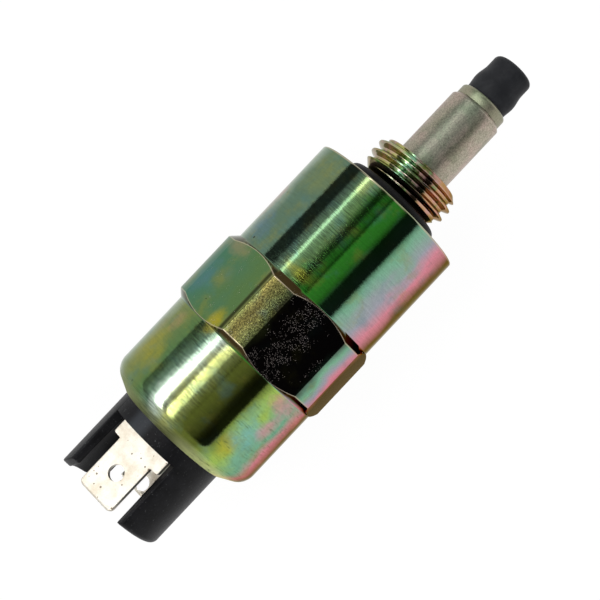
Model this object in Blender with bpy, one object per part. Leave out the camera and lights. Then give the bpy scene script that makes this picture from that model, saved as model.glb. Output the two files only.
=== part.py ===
"""Diesel shut-off solenoid: a hexagon-bodied pull solenoid with a threaded nose, lying on one of its flats.

Stations are measured along the solenoid's axis from the sealing shoulder, plus towards the plunger's tip.
The axis lies along world +X. The origin is under the middle of the part, on the surface it lies on.
"""

import math

import bmesh
import bpy
import numpy as np
from mathutils import Matrix, Vector

MM = 0.001
FULL_TURN = 2 * math.pi

# Clearances: between pieces that seat on each other, and round the sliding plunger
SEAT_GAP = 0.2 * MM
RUNNING_GAP = 0.25 * MM

# Threaded nose and sealing shoulder
THREAD_DIAMETER = 13.8 * MM
THREAD_PITCH = 1.5 * MM
THREAD_DEPTH = 0.92 * MM
THREAD_CREST_AT_Y = 2.95 * MM
NOSE_LENGTH = 7.0 * MM
NOSE_CHAMFER = 1.0 * MM
NOSE_BORE_CHAMFER = 0.3 * MM
NECK_LENGTH = 1.9 * MM
NECK_DIAMETER = 10.9 * MM
RING_RELIEF_DEPTH = 0.55 * MM
EDGE_BREAK = 0.25 * MM

# Turned body with its spanner hexagon
FRONT_BARREL_DIAMETER = 23.85 * MM
FRONT_BARREL_LENGTH = 16.9 * MM
HEXAGON_ACROSS_FLATS = 24.2 * MM
HEXAGON_CORNER_DIAMETER = 26.1 * MM
HEXAGON_LENGTH = 11.7 * MM
REAR_BARREL_DIAMETER = 24.1 * MM
REAR_BARREL_LENGTH = 14.45 * MM
SIDE_WALL = 1.525 * MM
FRONT_WALL = 4.2 * MM
SKIRT_WALL = 1.1 * MM
SKIRT_DEPTH = 1.5 * MM
RIM_ROUND = 2.7 * MM
RIM_REACH = 3.4 * MM
RIM_SLOPE = math.radians(62)

# O-ring on the neck, and the two small seals on the guide tube
SEAT_RING_SECTION = 1.9 * MM
TUBE_SEAL_SECTION = 1.3 * MM
TUBE_SEAL_DEPTH = 1.8 * MM

# Plunger, its rubber tip and its return spring
PLUNGER_DIAMETER = 8.3 * MM
PLUNGER_FULL_END = 17.8 * MM
PLUNGER_END = 19.8 * MM
PLUNGER_REAR = -16.0 * MM
PLUNGER_TRAVEL = 2.2 * MM
LIP_DIAMETER = 7.55 * MM
LIP_ROUND = 0.45 * MM
LIP_LENGTH = 0.9 * MM
CRIMP_LINE_DEPTH = 0.08 * MM
TIP_REACH = 6.2 * MM
TIP_NECK_DIAMETER = 6.6 * MM
TIP_BULGE_DIAMETER = 6.95 * MM
TIP_NOSE_DIAMETER = 6.36 * MM
TIP_ROUND = 0.8 * MM
TIP_STEM_DIAMETER = 7.0 * MM
TIP_STEM_LENGTH = 4.0 * MM
SPRING_WIRE = 0.6 * MM
SPRING_OUTER_DIAMETER = 3.9 * MM
SPRING_TURNS = 9
SPRING_POCKET_IN_PLUNGER = 12.5 * MM
SPRING_POCKET_IN_CORE = 4.5 * MM

# Magnet parts: tube, core, coil and flux washer
TUBE_WALL = 0.5 * MM
SHIM_THICKNESS = 0.3 * MM
BOBBIN_HUB_WALL = 1.05 * MM
BOBBIN_FRONT_FLANGE = 1.2 * MM
BOBBIN_REAR_FLANGE = 2.2 * MM
COIL_CLEARANCE = 0.55 * MM
COIL_WRAP_THICKNESS = 0.3 * MM
FLUX_WASHER_THICKNESS = 2.3 * MM
RIVET_HEAD_DIAMETER = 10.6 * MM
RIVET_HEAD_THICKNESS = 0.7 * MM
INSULATOR_THICKNESS = 0.5 * MM
GASKET_THICKNESS = 1.0 * MM
GASKET_WIDTH = 1.8 * MM

# Moulded connector with its two curved wings
CONNECTOR_WALL = 1.45 * MM
COLLAR_STAND_OUT = 2.4 * MM
FLOOR_SINK = 0.3 * MM
RECESS_DEPTH = 1.4 * MM
WING_LENGTH = 10.5 * MM
WING_END_ROUND = 0.9 * MM
WINDOW_HALF_ANGLE = math.radians(42.7)
# Angle about the axis from +Y towards +Z of the direction that the blades face
BLADE_FACING = math.radians(51.5)

# Spade terminals and the leads to the coil
BLADE_WIDTH = 6.3 * MM
BLADE_THICKNESS = 0.8 * MM
BLADE_INSET = 1.7 * MM
BLADE_FOOT_CLEARANCE = 0.08 * MM
BLADE_FOOT_HEIGHT = 2.4 * MM
BLADE_TIP_CHAMFER = 0.7 * MM
BLADE_CORNER_ROUND = 0.3 * MM
REAR_BLADE_SHORTER = 3.0 * MM
BLADE_HOLE_DIAMETER = 2.4 * MM
BLADE_HOLE_HEIGHT = 6.1 * MM
TAB_WIDTH = 5.0 * MM
CLINCH_LENGTH = 2.1 * MM
LEAD_DIAMETER = 0.7 * MM
LEAD_HOLE_DIAMETER = 1.6 * MM
LEAD_OFFSET_ALONG_FACING = 4.1 * MM
LEAD_INSET = 0.8 * MM

# Facets round a turned piece: the larger, visible ones and the small inner ones
LARGE_COLUMNS = 48
SMALL_COLUMNS = 32

# Stations and radii that several pieces share
THREAD_RADIUS = THREAD_DIAMETER / 2
NECK_RADIUS = NECK_DIAMETER / 2
FRONT_BARREL_RADIUS = FRONT_BARREL_DIAMETER / 2
REAR_BARREL_RADIUS = REAR_BARREL_DIAMETER / 2
APOTHEM = HEXAGON_ACROSS_FLATS / 2
CORNER_RADIUS = HEXAGON_CORNER_DIAMETER / 2
CAVITY_RADIUS = min(FRONT_BARREL_RADIUS, REAR_BARREL_RADIUS) - SIDE_WALL
PLUNGER_RADIUS = PLUNGER_DIAMETER / 2
BORE_RADIUS = PLUNGER_RADIUS + RUNNING_GAP
TUBE_RADIUS = BORE_RADIUS + TUBE_WALL
RING_RADIUS = NECK_RADIUS + SEAT_GAP + SEAT_RING_SECTION / 2
RELIEF_RADIUS = RING_RADIUS + SEAT_RING_SECTION / 2 + SEAT_GAP
TUBE_SEAL_RADIUS = TUBE_RADIUS + SEAT_GAP + TUBE_SEAL_SECTION / 2
TUBE_SEAL_GROOVE = TUBE_SEAL_RADIUS + TUBE_SEAL_SECTION / 2 + SEAT_GAP

HEXAGON_FRONT = -FRONT_BARREL_LENGTH
HEXAGON_REAR = HEXAGON_FRONT - HEXAGON_LENGTH
RIM_END = HEXAGON_REAR - REAR_BARREL_LENGTH
RIM_OPENING = REAR_BARREL_RADIUS - RIM_REACH
CONNECTOR_RADIUS = RIM_OPENING - SEAT_GAP
RIM_BEND_RADIUS = REAR_BARREL_RADIUS - RIM_ROUND
RIM_CONE_REACH = RIM_REACH - RIM_ROUND * (1 - math.cos(RIM_SLOPE))
RIM_CENTRE = RIM_END + RIM_ROUND * math.sin(RIM_SLOPE) + RIM_CONE_REACH / math.tan(RIM_SLOPE)
SKIRT_INNER_RADIUS = REAR_BARREL_RADIUS - SKIRT_WALL

CAVITY_FRONT = -FRONT_WALL
SEAL_FLOOR = CAVITY_FRONT + TUBE_SEAL_DEPTH
TUBE_STOP = SEAL_FLOOR + 2 * TUBE_WALL
BOBBIN_FRONT = CAVITY_FRONT - SEAT_GAP
SKIRT_STEP = RIM_CENTRE + SKIRT_DEPTH
FLUX_WASHER_REAR = SKIRT_STEP
FLUX_WASHER_FRONT = FLUX_WASHER_REAR + FLUX_WASHER_THICKNESS
BOBBIN_REAR = FLUX_WASHER_FRONT + SEAT_GAP
RIVET_REAR = FLUX_WASHER_REAR - SEAT_GAP - RIVET_HEAD_THICKNESS
INSULATOR_FRONT = RIVET_REAR - SEAT_GAP
INSULATOR_REAR = INSULATOR_FRONT - INSULATOR_THICKNESS
CLINCH_FRONT = INSULATOR_REAR - SEAT_GAP
CLINCH_REAR = CLINCH_FRONT - BLADE_THICKNESS
RECESS_FLOOR = CLINCH_REAR - SEAT_GAP
CONNECTOR_FRONT = RECESS_FLOOR + RECESS_DEPTH
COLLAR_FACE = RIM_END - COLLAR_STAND_OUT
WING_END = COLLAR_FACE - WING_LENGTH
WING_INNER_RADIUS = CONNECTOR_RADIUS - CONNECTOR_WALL
RECESS_RADIUS = RIM_OPENING - 2 * SEAT_GAP

SHIM_FRONT = PLUNGER_REAR - PLUNGER_TRAVEL - SEAT_GAP / 2
SHIM_REAR = SHIM_FRONT - SHIM_THICKNESS
POLE_FACE = SHIM_REAR - SEAT_GAP
SPRING_POCKET_RADIUS = SPRING_OUTER_DIAMETER / 2 + RUNNING_GAP
SPRING_FRONT = PLUNGER_REAR + SPRING_POCKET_IN_PLUNGER - SEAT_GAP
SPRING_REAR = POLE_FACE - SPRING_POCKET_IN_CORE + SEAT_GAP
TIP_END = PLUNGER_END + TIP_REACH
BLADE_OUTER_FACE = WING_INNER_RADIUS - BLADE_INSET
BLADE_INNER_FACE = BLADE_OUTER_FACE - BLADE_THICKNESS
FOOT_HALF_WIDTH = math.sqrt((WING_INNER_RADIUS - BLADE_FOOT_CLEARANCE) ** 2 - BLADE_OUTER_FACE**2)
LEAD_OFFSET_ACROSS = math.sqrt((RECESS_RADIUS - LEAD_INSET) ** 2 - LEAD_OFFSET_ALONG_FACING**2)


def clear_scene():
    for obj in list(bpy.data.objects):
        bpy.data.objects.remove(obj, do_unlink=True)


def material(name, colour, roughness, metallic):
    made = bpy.data.materials.new(name)
    made.use_nodes = True
    shader = made.node_tree.nodes["Principled BSDF"]
    shader.inputs["Base Color"].default_value = (*colour, 1.0)
    shader.inputs["Roughness"].default_value = roughness
    shader.inputs["Metallic"].default_value = metallic
    return made


def empty(name, parent=None):
    """A point on the solenoid's axis that carries pieces and isn't one itself."""
    made = bpy.data.objects.new(name, None)
    bpy.context.collection.objects.link(made)
    made.parent = parent
    return made


def add_piece(name, mesh, finish, parent):
    made = bpy.data.objects.new(name, mesh)
    bpy.context.collection.objects.link(made)
    made.parent = parent
    mesh.materials.append(finish)
    mesh.shade_smooth()
    mesh.set_sharp_from_angle(angle=math.radians(28))
    return made


def mesh_from(name, bm):
    """Turns a closed bmesh into a mesh with its faces outwards, also where a deep bore misleads the recalculation."""
    bmesh.ops.recalc_face_normals(bm, faces=bm.faces)
    if bm.calc_volume(signed=True) < 0:
        bmesh.ops.reverse_faces(bm, faces=bm.faces)
    mesh = bpy.data.meshes.new(name)
    bm.to_mesh(mesh)
    bm.free()
    return mesh


def arc(station, radius, size, start, end, steps):
    """Points of an arc round (station, radius), from one angle to another, where 90 degrees points outwards."""
    angles = np.radians(np.linspace(start, end, steps + 1))
    return [(station + size * math.cos(a), radius + size * math.sin(a)) for a in angles]


def turned(name, outline, finish, parent, columns=SMALL_COLUMNS):
    """A solid of revolution about the axis. The outline is a closed loop of (station, radius), or runs from
    one point on the axis to another."""
    bm = bmesh.new()
    points = [bm.verts.new((station, radius, 0)) for station, radius in outline]
    edges = [bm.edges.new(pair) for pair in zip(points, points[1:])]
    if outline[0][1] > 0 or outline[-1][1] > 0:
        edges.append(bm.edges.new((points[-1], points[0])))
    bmesh.ops.spin(
        bm,
        geom=points + edges,
        cent=(0, 0, 0),
        axis=(1, 0, 0),
        dvec=(0, 0, 0),
        angle=FULL_TURN,
        steps=columns,
        use_merge=True,
    )
    bmesh.ops.remove_doubles(bm, verts=bm.verts, dist=0.0005 * MM)
    return add_piece(name, mesh_from(name, bm), finish, parent)


def ring_section(station, radius, section, steps=10):
    """The round section of an O-ring."""
    return arc(station, radius, section / 2, 0, 360, steps)[:-1]


def box_section(front, rear, inner, outer):
    """The section of a plain washer or tube."""
    return [(front, inner), (front, outer), (rear, outer), (rear, inner)]


def prism(name, outline, low, high, parent, along=Matrix.Identity(4)):
    """A cutter: a closed outline in its own XY plane, extruded in Z from low to high, then placed by a matrix."""
    bm = bmesh.new()
    base = bm.faces.new([bm.verts.new((x, y, low)) for x, y in outline])
    risen = bmesh.ops.extrude_face_region(bm, geom=[base])["geom"]
    top = [v for v in risen if isinstance(v, bmesh.types.BMVert)]
    bmesh.ops.translate(bm, verts=top, vec=(0, 0, high - low))
    bm.transform(along)
    made = bpy.data.objects.new(name, mesh_from(name, bm))
    bpy.context.collection.objects.link(made)
    made.parent = parent
    made.hide_render = True
    made.display_type = "WIRE"
    return made


def round_outline(radius, columns, across=0.0, facing=0.0):
    """A circle's points about (across, facing)."""
    angles = np.arange(columns) * FULL_TURN / columns
    return [(across + radius * math.cos(a), facing + radius * math.sin(a)) for a in angles]


def cut(target, cutter):
    made = target.modifiers.new(cutter.name, "BOOLEAN")
    made.operation = "DIFFERENCE"
    made.solver = "EXACT"
    made.object = cutter


def facing_frame(turn=0.0):
    """Matrix whose X runs along the axis, Y across the blades and Z the way that the blades face."""
    angle = BLADE_FACING + turn
    facing = Vector((0, math.cos(angle), math.sin(angle)))
    along = Vector((1, 0, 0))
    return Matrix((along, facing.cross(along), facing)).transposed().to_4x4()


def axial_frame(turn=0.0):
    """Matrix whose Z runs along the axis, X across the blades and Y the way that the blades face."""
    angle = BLADE_FACING + turn
    facing = Vector((0, math.cos(angle), math.sin(angle)))
    along = Vector((1, 0, 0))
    return Matrix((facing.cross(along), facing, along)).transposed().to_4x4()


# Body housing: one steel turning, hollow, with its hexagon, its thread and its rolled rear rim
def hexagon_columns():
    """Angles from +Y towards +Z: even steps over each flat, and two over each turned-down corner."""
    sixth = FULL_TURN / 6
    per_flat = LARGE_COLUMNS // 6 - 2
    has_flats = CORNER_RADIUS > APOTHEM
    half_flat = math.acos(APOTHEM / CORNER_RADIUS) if has_flats else sixth / 2 * per_flat / (per_flat + 2)
    one = np.append(np.linspace(-half_flat, half_flat, per_flat + 1), sixth / 2)
    flats = np.arange(6)[:, None] * sixth + math.pi / 2
    return np.sort(((one[None, :] + flats) % FULL_TURN).ravel())


def hexagon_radius(angles):
    """Distance from the axis to the hexagon with its corners turned down to a circle."""
    sixth = FULL_TURN / 6
    off = (angles - math.pi / 2 + sixth / 2) % sixth - sixth / 2
    return np.minimum(APOTHEM / np.cos(off), CORNER_RADIUS)


def thread_rows(angles):
    """Rows of the helical thread from the nose's end to the neck, four to a turn: both sides of the crest and
    both sides of the root. Each is a helix held between the two ends, where the rows run together."""
    start, end = NOSE_LENGTH, NECK_LENGTH
    root = THREAD_RADIUS - THREAD_DEPTH
    end_radius = min(THREAD_RADIUS - NOSE_CHAMFER, root)
    phases = ((-1 / 16, THREAD_RADIUS), (1 / 16, THREAD_RADIUS), (3 / 8, root), (5 / 8, root))
    first = math.floor((THREAD_CREST_AT_Y - start) / THREAD_PITCH) - 1
    last = math.ceil((THREAD_CREST_AT_Y - end) / THREAD_PITCH) + 2
    rows = []
    for turn in range(first, last + 1):
        for phase, radius in phases:
            station = THREAD_CREST_AT_Y - THREAD_PITCH * (turn + phase - angles / FULL_TURN)
            station = np.clip(station, end, start)
            chamfer = end_radius + start - station
            runout = NECK_RADIUS + station - end
            rows.append((station, np.minimum(np.minimum(radius, chamfer), runout)))
    return rows, len(phases)


def housing_mesh():
    """A grid of rows round the axis, closed end to end. At the seam a thread row meets the one a turn earlier."""
    angles = hexagon_columns()
    thread, per_turn = thread_rows(angles)
    hexagon = hexagon_radius(angles)
    front_rise = abs(hexagon - FRONT_BARREL_RADIUS)
    rear_rise = abs(hexagon - REAR_BARREL_RADIUS)
    bend_end = 90 + math.degrees(RIM_SLOPE)
    flat_rows = [
        (-RING_RELIEF_DEPTH, NECK_RADIUS),
        (-RING_RELIEF_DEPTH, RELIEF_RADIUS),
        (0, RELIEF_RADIUS),
        (0, FRONT_BARREL_RADIUS - EDGE_BREAK),
        (-EDGE_BREAK, FRONT_BARREL_RADIUS),
        (HEXAGON_FRONT, FRONT_BARREL_RADIUS),
        (HEXAGON_FRONT - front_rise, hexagon),
        (HEXAGON_REAR + rear_rise, hexagon),
        (HEXAGON_REAR, REAR_BARREL_RADIUS),
        *arc(RIM_CENTRE, RIM_BEND_RADIUS, RIM_ROUND, 90, bend_end, 5),
        (RIM_END, RIM_OPENING),
        (RIM_END + SKIRT_WALL / math.sin(RIM_SLOPE), RIM_OPENING),
        *arc(RIM_CENTRE, RIM_BEND_RADIUS, RIM_ROUND - SKIRT_WALL, bend_end, 90, 4),
        (SKIRT_STEP, SKIRT_INNER_RADIUS),
        (SKIRT_STEP, CAVITY_RADIUS),
        (CAVITY_FRONT, CAVITY_RADIUS),
        (CAVITY_FRONT, TUBE_SEAL_GROOVE),
        (SEAL_FLOOR, TUBE_SEAL_GROOVE),
        (SEAL_FLOOR, TUBE_RADIUS + SEAT_GAP),
        (TUBE_STOP, TUBE_RADIUS + SEAT_GAP),
        (TUBE_STOP, BORE_RADIUS),
        (NOSE_LENGTH - NOSE_BORE_CHAMFER, BORE_RADIUS),
        (NOSE_LENGTH, BORE_RADIUS + NOSE_BORE_CHAMFER),
    ]
    rows = thread + flat_rows
    columns = len(angles)
    station = np.array([np.broadcast_to(row[0], columns) for row in rows])
    radius = np.array([np.broadcast_to(row[1], columns) for row in rows])
    points = np.stack([station, radius * np.cos(angles), radius * np.sin(angles)], axis=-1)

    row, column = np.mgrid[0 : len(rows), 0:columns]
    following = (row + 1) % len(rows)
    beside = (column + 1) % columns
    threaded = len(thread)

    def across_seam(index):
        earlier = np.maximum(index - per_turn, 0)
        return np.where((column == columns - 1) & (index < threaded), earlier, index)

    quads = np.stack(
        [
            row * columns + column,
            following * columns + column,
            across_seam(following) * columns + beside,
            across_seam(row) * columns + beside,
        ],
        axis=-1,
    ).reshape(-1, 4)
    bm = bmesh.new()
    vertices = [bm.verts.new(point) for point in points.reshape(-1, 3)]
    for quad in quads:
        corners = [vertices[index] for index in dict.fromkeys(quad.tolist())]
        if len(corners) > 2:
            bm.faces.new(corners)
    bmesh.ops.remove_doubles(bm, verts=bm.verts, dist=0.0005 * MM)
    bmesh.ops.dissolve_degenerate(bm, edges=bm.edges, dist=0.0001 * MM)
    return mesh_from("body_housing", bm)


def plunger_outline():
    """From the bottom of the spring pocket round the outside to the bottom of the tip's pocket."""
    pocket = TIP_STEM_DIAMETER / 2 + SEAT_GAP
    mouth = TIP_NECK_DIAMETER / 2 + SEAT_GAP / 2
    lip = LIP_DIAMETER / 2
    lip_start = PLUNGER_FULL_END + PLUNGER_RADIUS - lip
    floor = PLUNGER_END - LIP_LENGTH - TIP_STEM_LENGTH - SEAT_GAP
    return [
        (PLUNGER_REAR + SPRING_POCKET_IN_PLUNGER, 0),
        (PLUNGER_REAR + SPRING_POCKET_IN_PLUNGER, SPRING_POCKET_RADIUS),
        (PLUNGER_REAR, SPRING_POCKET_RADIUS),
        (PLUNGER_REAR, PLUNGER_RADIUS - EDGE_BREAK),
        (PLUNGER_REAR + EDGE_BREAK, PLUNGER_RADIUS),
        (PLUNGER_FULL_END, PLUNGER_RADIUS),
        (lip_start, lip),
        (lip_start + CRIMP_LINE_DEPTH, lip - CRIMP_LINE_DEPTH),
        (lip_start + 2 * CRIMP_LINE_DEPTH, lip),
        *arc(PLUNGER_END - LIP_ROUND, lip - LIP_ROUND, LIP_ROUND, 90, 0, 3),
        (PLUNGER_END, mouth),
        (PLUNGER_END - LIP_LENGTH, mouth),
        (PLUNGER_END - LIP_LENGTH, pocket),
        (floor, pocket),
        (floor, 0),
    ]


def tip_outline():
    """The rubber tip: a beaded stem behind the lip, a neck through it, a soft bulge and a rounded nose."""
    stem_front = PLUNGER_END - LIP_LENGTH - SEAT_GAP
    stem = TIP_STEM_DIAMETER / 2
    neck = TIP_NECK_DIAMETER / 2
    bulge = TIP_BULGE_DIAMETER / 2
    nose = TIP_NOSE_DIAMETER / 2
    swell_from, swell_to = PLUNGER_END, PLUNGER_END + 0.65 * TIP_REACH
    along = np.linspace(0, 1, 7)
    base = neck + (nose - neck) * along
    swell = (bulge - (neck + nose) / 2) * np.sin(math.pi * along) ** 2
    body = list(zip(swell_from + (swell_to - swell_from) * along, base + swell))
    return [
        (stem_front - TIP_STEM_LENGTH + SEAT_GAP, 0),
        (stem_front - TIP_STEM_LENGTH + SEAT_GAP, stem),
        (stem_front, stem),
        (stem_front, neck),
        *body,
        *arc(TIP_END - TIP_ROUND, nose - TIP_ROUND, TIP_ROUND, 90, 10, 3),
        (TIP_END, 0),
    ]


def core_outline():
    """From the bottom of the spring pocket, out over the pole face and back to the riveted head."""
    stem = BORE_RADIUS - SEAT_GAP
    head = RIVET_HEAD_DIAMETER / 2
    return [
        (POLE_FACE - SPRING_POCKET_IN_CORE, 0),
        (POLE_FACE - SPRING_POCKET_IN_CORE, SPRING_POCKET_RADIUS),
        (POLE_FACE, SPRING_POCKET_RADIUS),
        (POLE_FACE, stem),
        (FLUX_WASHER_REAR - SEAT_GAP, stem),
        (FLUX_WASHER_REAR - SEAT_GAP, head - EDGE_BREAK),
        (RIVET_REAR + EDGE_BREAK, head),
        (RIVET_REAR, head - 2 * EDGE_BREAK),
        (RIVET_REAR, 0),
    ]


def bobbin_outline():
    inner = TUBE_RADIUS + SEAT_GAP
    hub = inner + BOBBIN_HUB_WALL
    flange = CAVITY_RADIUS - SEAT_GAP
    return [
        (BOBBIN_FRONT, inner),
        (BOBBIN_FRONT, flange),
        (BOBBIN_FRONT - BOBBIN_FRONT_FLANGE, flange),
        (BOBBIN_FRONT - BOBBIN_FRONT_FLANGE, hub),
        (BOBBIN_REAR + BOBBIN_REAR_FLANGE, hub),
        (BOBBIN_REAR + BOBBIN_REAR_FLANGE, flange),
        (BOBBIN_REAR, flange),
        (BOBBIN_REAR, TUBE_SEAL_GROOVE),
        (BOBBIN_REAR + TUBE_SEAL_DEPTH - SEAT_GAP, TUBE_SEAL_GROOVE),
        (BOBBIN_REAR + TUBE_SEAL_DEPTH - SEAT_GAP, inner),
    ]


def connector_outline():
    """The moulding before its windows are cut: flange under the rim, collar, and a full ring of wall."""
    flange = RIM_ROUND - SKIRT_WALL - SEAT_GAP
    cone_end = RIM_END + (SKIRT_WALL + SEAT_GAP) / math.sin(RIM_SLOPE) - SEAT_GAP / math.tan(RIM_SLOPE)
    return [
        (RECESS_FLOOR, 0),
        (RECESS_FLOOR, RECESS_RADIUS),
        (CONNECTOR_FRONT, RECESS_RADIUS),
        (CONNECTOR_FRONT, SKIRT_INNER_RADIUS - SEAT_GAP),
        *arc(RIM_CENTRE, RIM_BEND_RADIUS, flange, 90, 90 + math.degrees(RIM_SLOPE), 4),
        (cone_end, CONNECTOR_RADIUS),
        (COLLAR_FACE, CONNECTOR_RADIUS),
        *arc(WING_END + WING_END_ROUND, CONNECTOR_RADIUS - WING_END_ROUND, WING_END_ROUND, 90, 180, 3),
        (WING_END, WING_INNER_RADIUS + EDGE_BREAK),
        (WING_END + EDGE_BREAK, WING_INNER_RADIUS),
        (COLLAR_FACE + FLOOR_SINK, WING_INNER_RADIUS),
        (COLLAR_FACE + FLOOR_SINK, 0),
    ]


def window_outline():
    """The gap between the wings, seen along the axis: two sides on radii and an outer side beyond the wall."""
    near, far = WING_INNER_RADIUS / 2, 2 * CONNECTOR_RADIUS
    across, facing = math.sin(WINDOW_HALF_ANGLE), math.cos(WINDOW_HALF_ANGLE)
    return [(-near * across, near * facing), (near * across, near * facing), (far * across, far * facing),
            (-far * across, far * facing)]


def terminal_mesh(name, tip):
    """A stamped blade: its flat outline is extruded to the strip's thickness, then its inner end is bent in
    under the moulding. Made in a frame with X along the axis, Y across the blade and Z outwards."""
    half, foot, tab = BLADE_WIDTH / 2, FOOT_HALF_WIDTH, TAB_WIDTH / 2
    foot_base = COLLAR_FACE - SEAT_GAP
    foot_top = COLLAR_FACE - BLADE_FOOT_HEIGHT
    corner = [
        (foot_top + BLADE_CORNER_ROUND * (1 - math.sin(a)), foot - BLADE_CORNER_ROUND * (1 - math.cos(a)))
        for a in np.radians((0, 30, 60, 90))
    ]
    side = [
        (CLINCH_REAR, tab),
        (foot_base, tab),
        (foot_base, foot),
        *corner,
        (foot_top, half),
        (tip + BLADE_TIP_CHAMFER, half),
        (tip, half - BLADE_TIP_CHAMFER),
    ]
    bm = bmesh.new()
    upper = [bm.verts.new((x, y, BLADE_INNER_FACE)) for x, y in side]
    lower = [bm.verts.new((x, -y, BLADE_INNER_FACE)) for x, y in reversed(side)]
    end = [bm.verts.new((CLINCH_FRONT, y, BLADE_INNER_FACE)) for y in (-tab, tab)]
    flat = [bm.faces.new(upper + lower), bm.faces.new([lower[-1], end[0], end[1], upper[0]])]
    risen = bmesh.ops.extrude_face_region(bm, geom=flat, use_keep_orig=True)["geom"]
    top = [v for v in risen if isinstance(v, bmesh.types.BMVert)]
    bmesh.ops.translate(bm, verts=top, vec=(0, 0, BLADE_THICKNESS))
    bent = bmesh.ops.extrude_discrete_faces(bm, faces=[flat[1]])["faces"]
    bmesh.ops.translate(bm, verts=bent[0].verts, vec=(0, 0, -CLINCH_LENGTH))
    return mesh_from(name, bm)


def lead_points():
    """From the winding, through the flux washer, and over to the side of the terminal's bent end."""
    start = BOBBIN_REAR + BOBBIN_REAR_FLANGE - SEAT_GAP
    level = (CLINCH_FRONT + CLINCH_REAR) / 2
    reach = TAB_WIDTH / 2 + SEAT_GAP
    bend = LEAD_OFFSET_ACROSS - reach
    steps = np.radians(np.linspace(0, 90, 5))
    turn = min(bend, INSULATOR_REAR - level, 2 * LEAD_DIAMETER)
    curve = [(level + turn * (1 - math.sin(a)), LEAD_OFFSET_ACROSS - turn * (1 - math.cos(a))) for a in steps]
    return [(start, LEAD_OFFSET_ACROSS), *curve, (level, reach)]


def add_lead(name, frame, finish, parent):
    """A short wire of round section on a path of straight runs and one bend."""
    curve = bpy.data.curves.new(name, "CURVE")
    curve.dimensions = "3D"
    curve.bevel_depth = LEAD_DIAMETER / 2
    curve.bevel_resolution = 1
    curve.use_fill_caps = True
    points = lead_points()
    spline = curve.splines.new("POLY")
    spline.points.add(len(points) - 1)
    for point, (station, across) in zip(spline.points, points):
        place = frame @ Vector((station, across, LEAD_OFFSET_ALONG_FACING))
        point.co = (*place, 1)
    curve.materials.append(finish)
    made = bpy.data.objects.new(name, curve)
    bpy.context.collection.objects.link(made)
    made.parent = parent
    return made


def add_spring(name, finish, parent):
    """A compression spring: a helix whose end turns lie close together."""
    curve = bpy.data.curves.new(name, "CURVE")
    curve.dimensions = "3D"
    curve.bevel_depth = SPRING_WIRE / 2
    curve.bevel_resolution = 1
    curve.use_fill_caps = True
    per_turn = 14
    turns = np.linspace(0, SPRING_TURNS, SPRING_TURNS * per_turn + 1)
    closed_pitch = 1.3 * SPRING_WIRE
    first, last = SPRING_REAR + SPRING_WIRE / 2, SPRING_FRONT - SPRING_WIRE / 2
    open_pitch = (last - first - 2 * closed_pitch) / (SPRING_TURNS - 2)
    station = first + closed_pitch * np.minimum(turns, 1)
    station += open_pitch * np.clip(turns - 1, 0, SPRING_TURNS - 2)
    station += closed_pitch * np.clip(turns - SPRING_TURNS + 1, 0, 1)
    radius = (SPRING_OUTER_DIAMETER - SPRING_WIRE) / 2
    spline = curve.splines.new("POLY")
    spline.points.add(len(turns) - 1)
    for point, x, turn in zip(spline.points, station, turns):
        angle = FULL_TURN * turn
        point.co = (x, radius * math.cos(angle), radius * math.sin(angle), 1)
    curve.materials.append(finish)
    made = bpy.data.objects.new(name, curve)
    bpy.context.collection.objects.link(made)
    made.parent = parent
    return made


clear_scene()

PLATED_STEEL = material("yellow_plated_steel", (0.42, 0.45, 0.22), 0.25, 1.0)
ZINC_STEEL = material("zinc_steel", (0.62, 0.60, 0.56), 0.35, 1.0)
CORE_STEEL = material("core_steel", (0.45, 0.45, 0.45), 0.4, 1.0)
SPRING_STEEL = material("spring_steel", (0.55, 0.55, 0.56), 0.3, 1.0)
BRASS = material("brass", (0.75, 0.58, 0.28), 0.3, 1.0)
TINNED_BRASS = material("tinned_brass", (0.85, 0.81, 0.74), 0.35, 1.0)
COPPER_WIRE = material("copper_wire", (0.72, 0.35, 0.18), 0.35, 1.0)
BLACK_RUBBER = material("black_rubber", (0.02, 0.02, 0.022), 0.55, 0.0)
BLACK_MOULDING = material("black_moulding", (0.025, 0.026, 0.028), 0.45, 0.0)
COIL_PLASTIC = material("coil_plastic", (0.75, 0.72, 0.62), 0.5, 0.0)
WRAP_TAPE = material("wrap_tape", (0.65, 0.50, 0.16), 0.4, 0.0)
FIBRE_BOARD = material("fibre_board", (0.40, 0.16, 0.08), 0.7, 0.0)

middle = (TIP_END + WING_END) / 2
solenoid = empty("solenoid_axis")
solenoid.location = (-middle, 0, APOTHEM)
plunger_axis = empty("plunger_axis", solenoid)

# Body and its sealing ring
add_piece("body_housing", housing_mesh(), PLATED_STEEL, solenoid)
turned(
    "seat_o_ring",
    ring_section(SEAT_RING_SECTION / 2 + SEAT_GAP - RING_RELIEF_DEPTH, RING_RADIUS, SEAT_RING_SECTION, 12),
    BLACK_RUBBER,
    solenoid,
    LARGE_COLUMNS,
)

# Moving plunger
turned("plunger", plunger_outline(), ZINC_STEEL, plunger_axis)
turned("seal_tip", tip_outline(), BLACK_RUBBER, plunger_axis)

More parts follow.
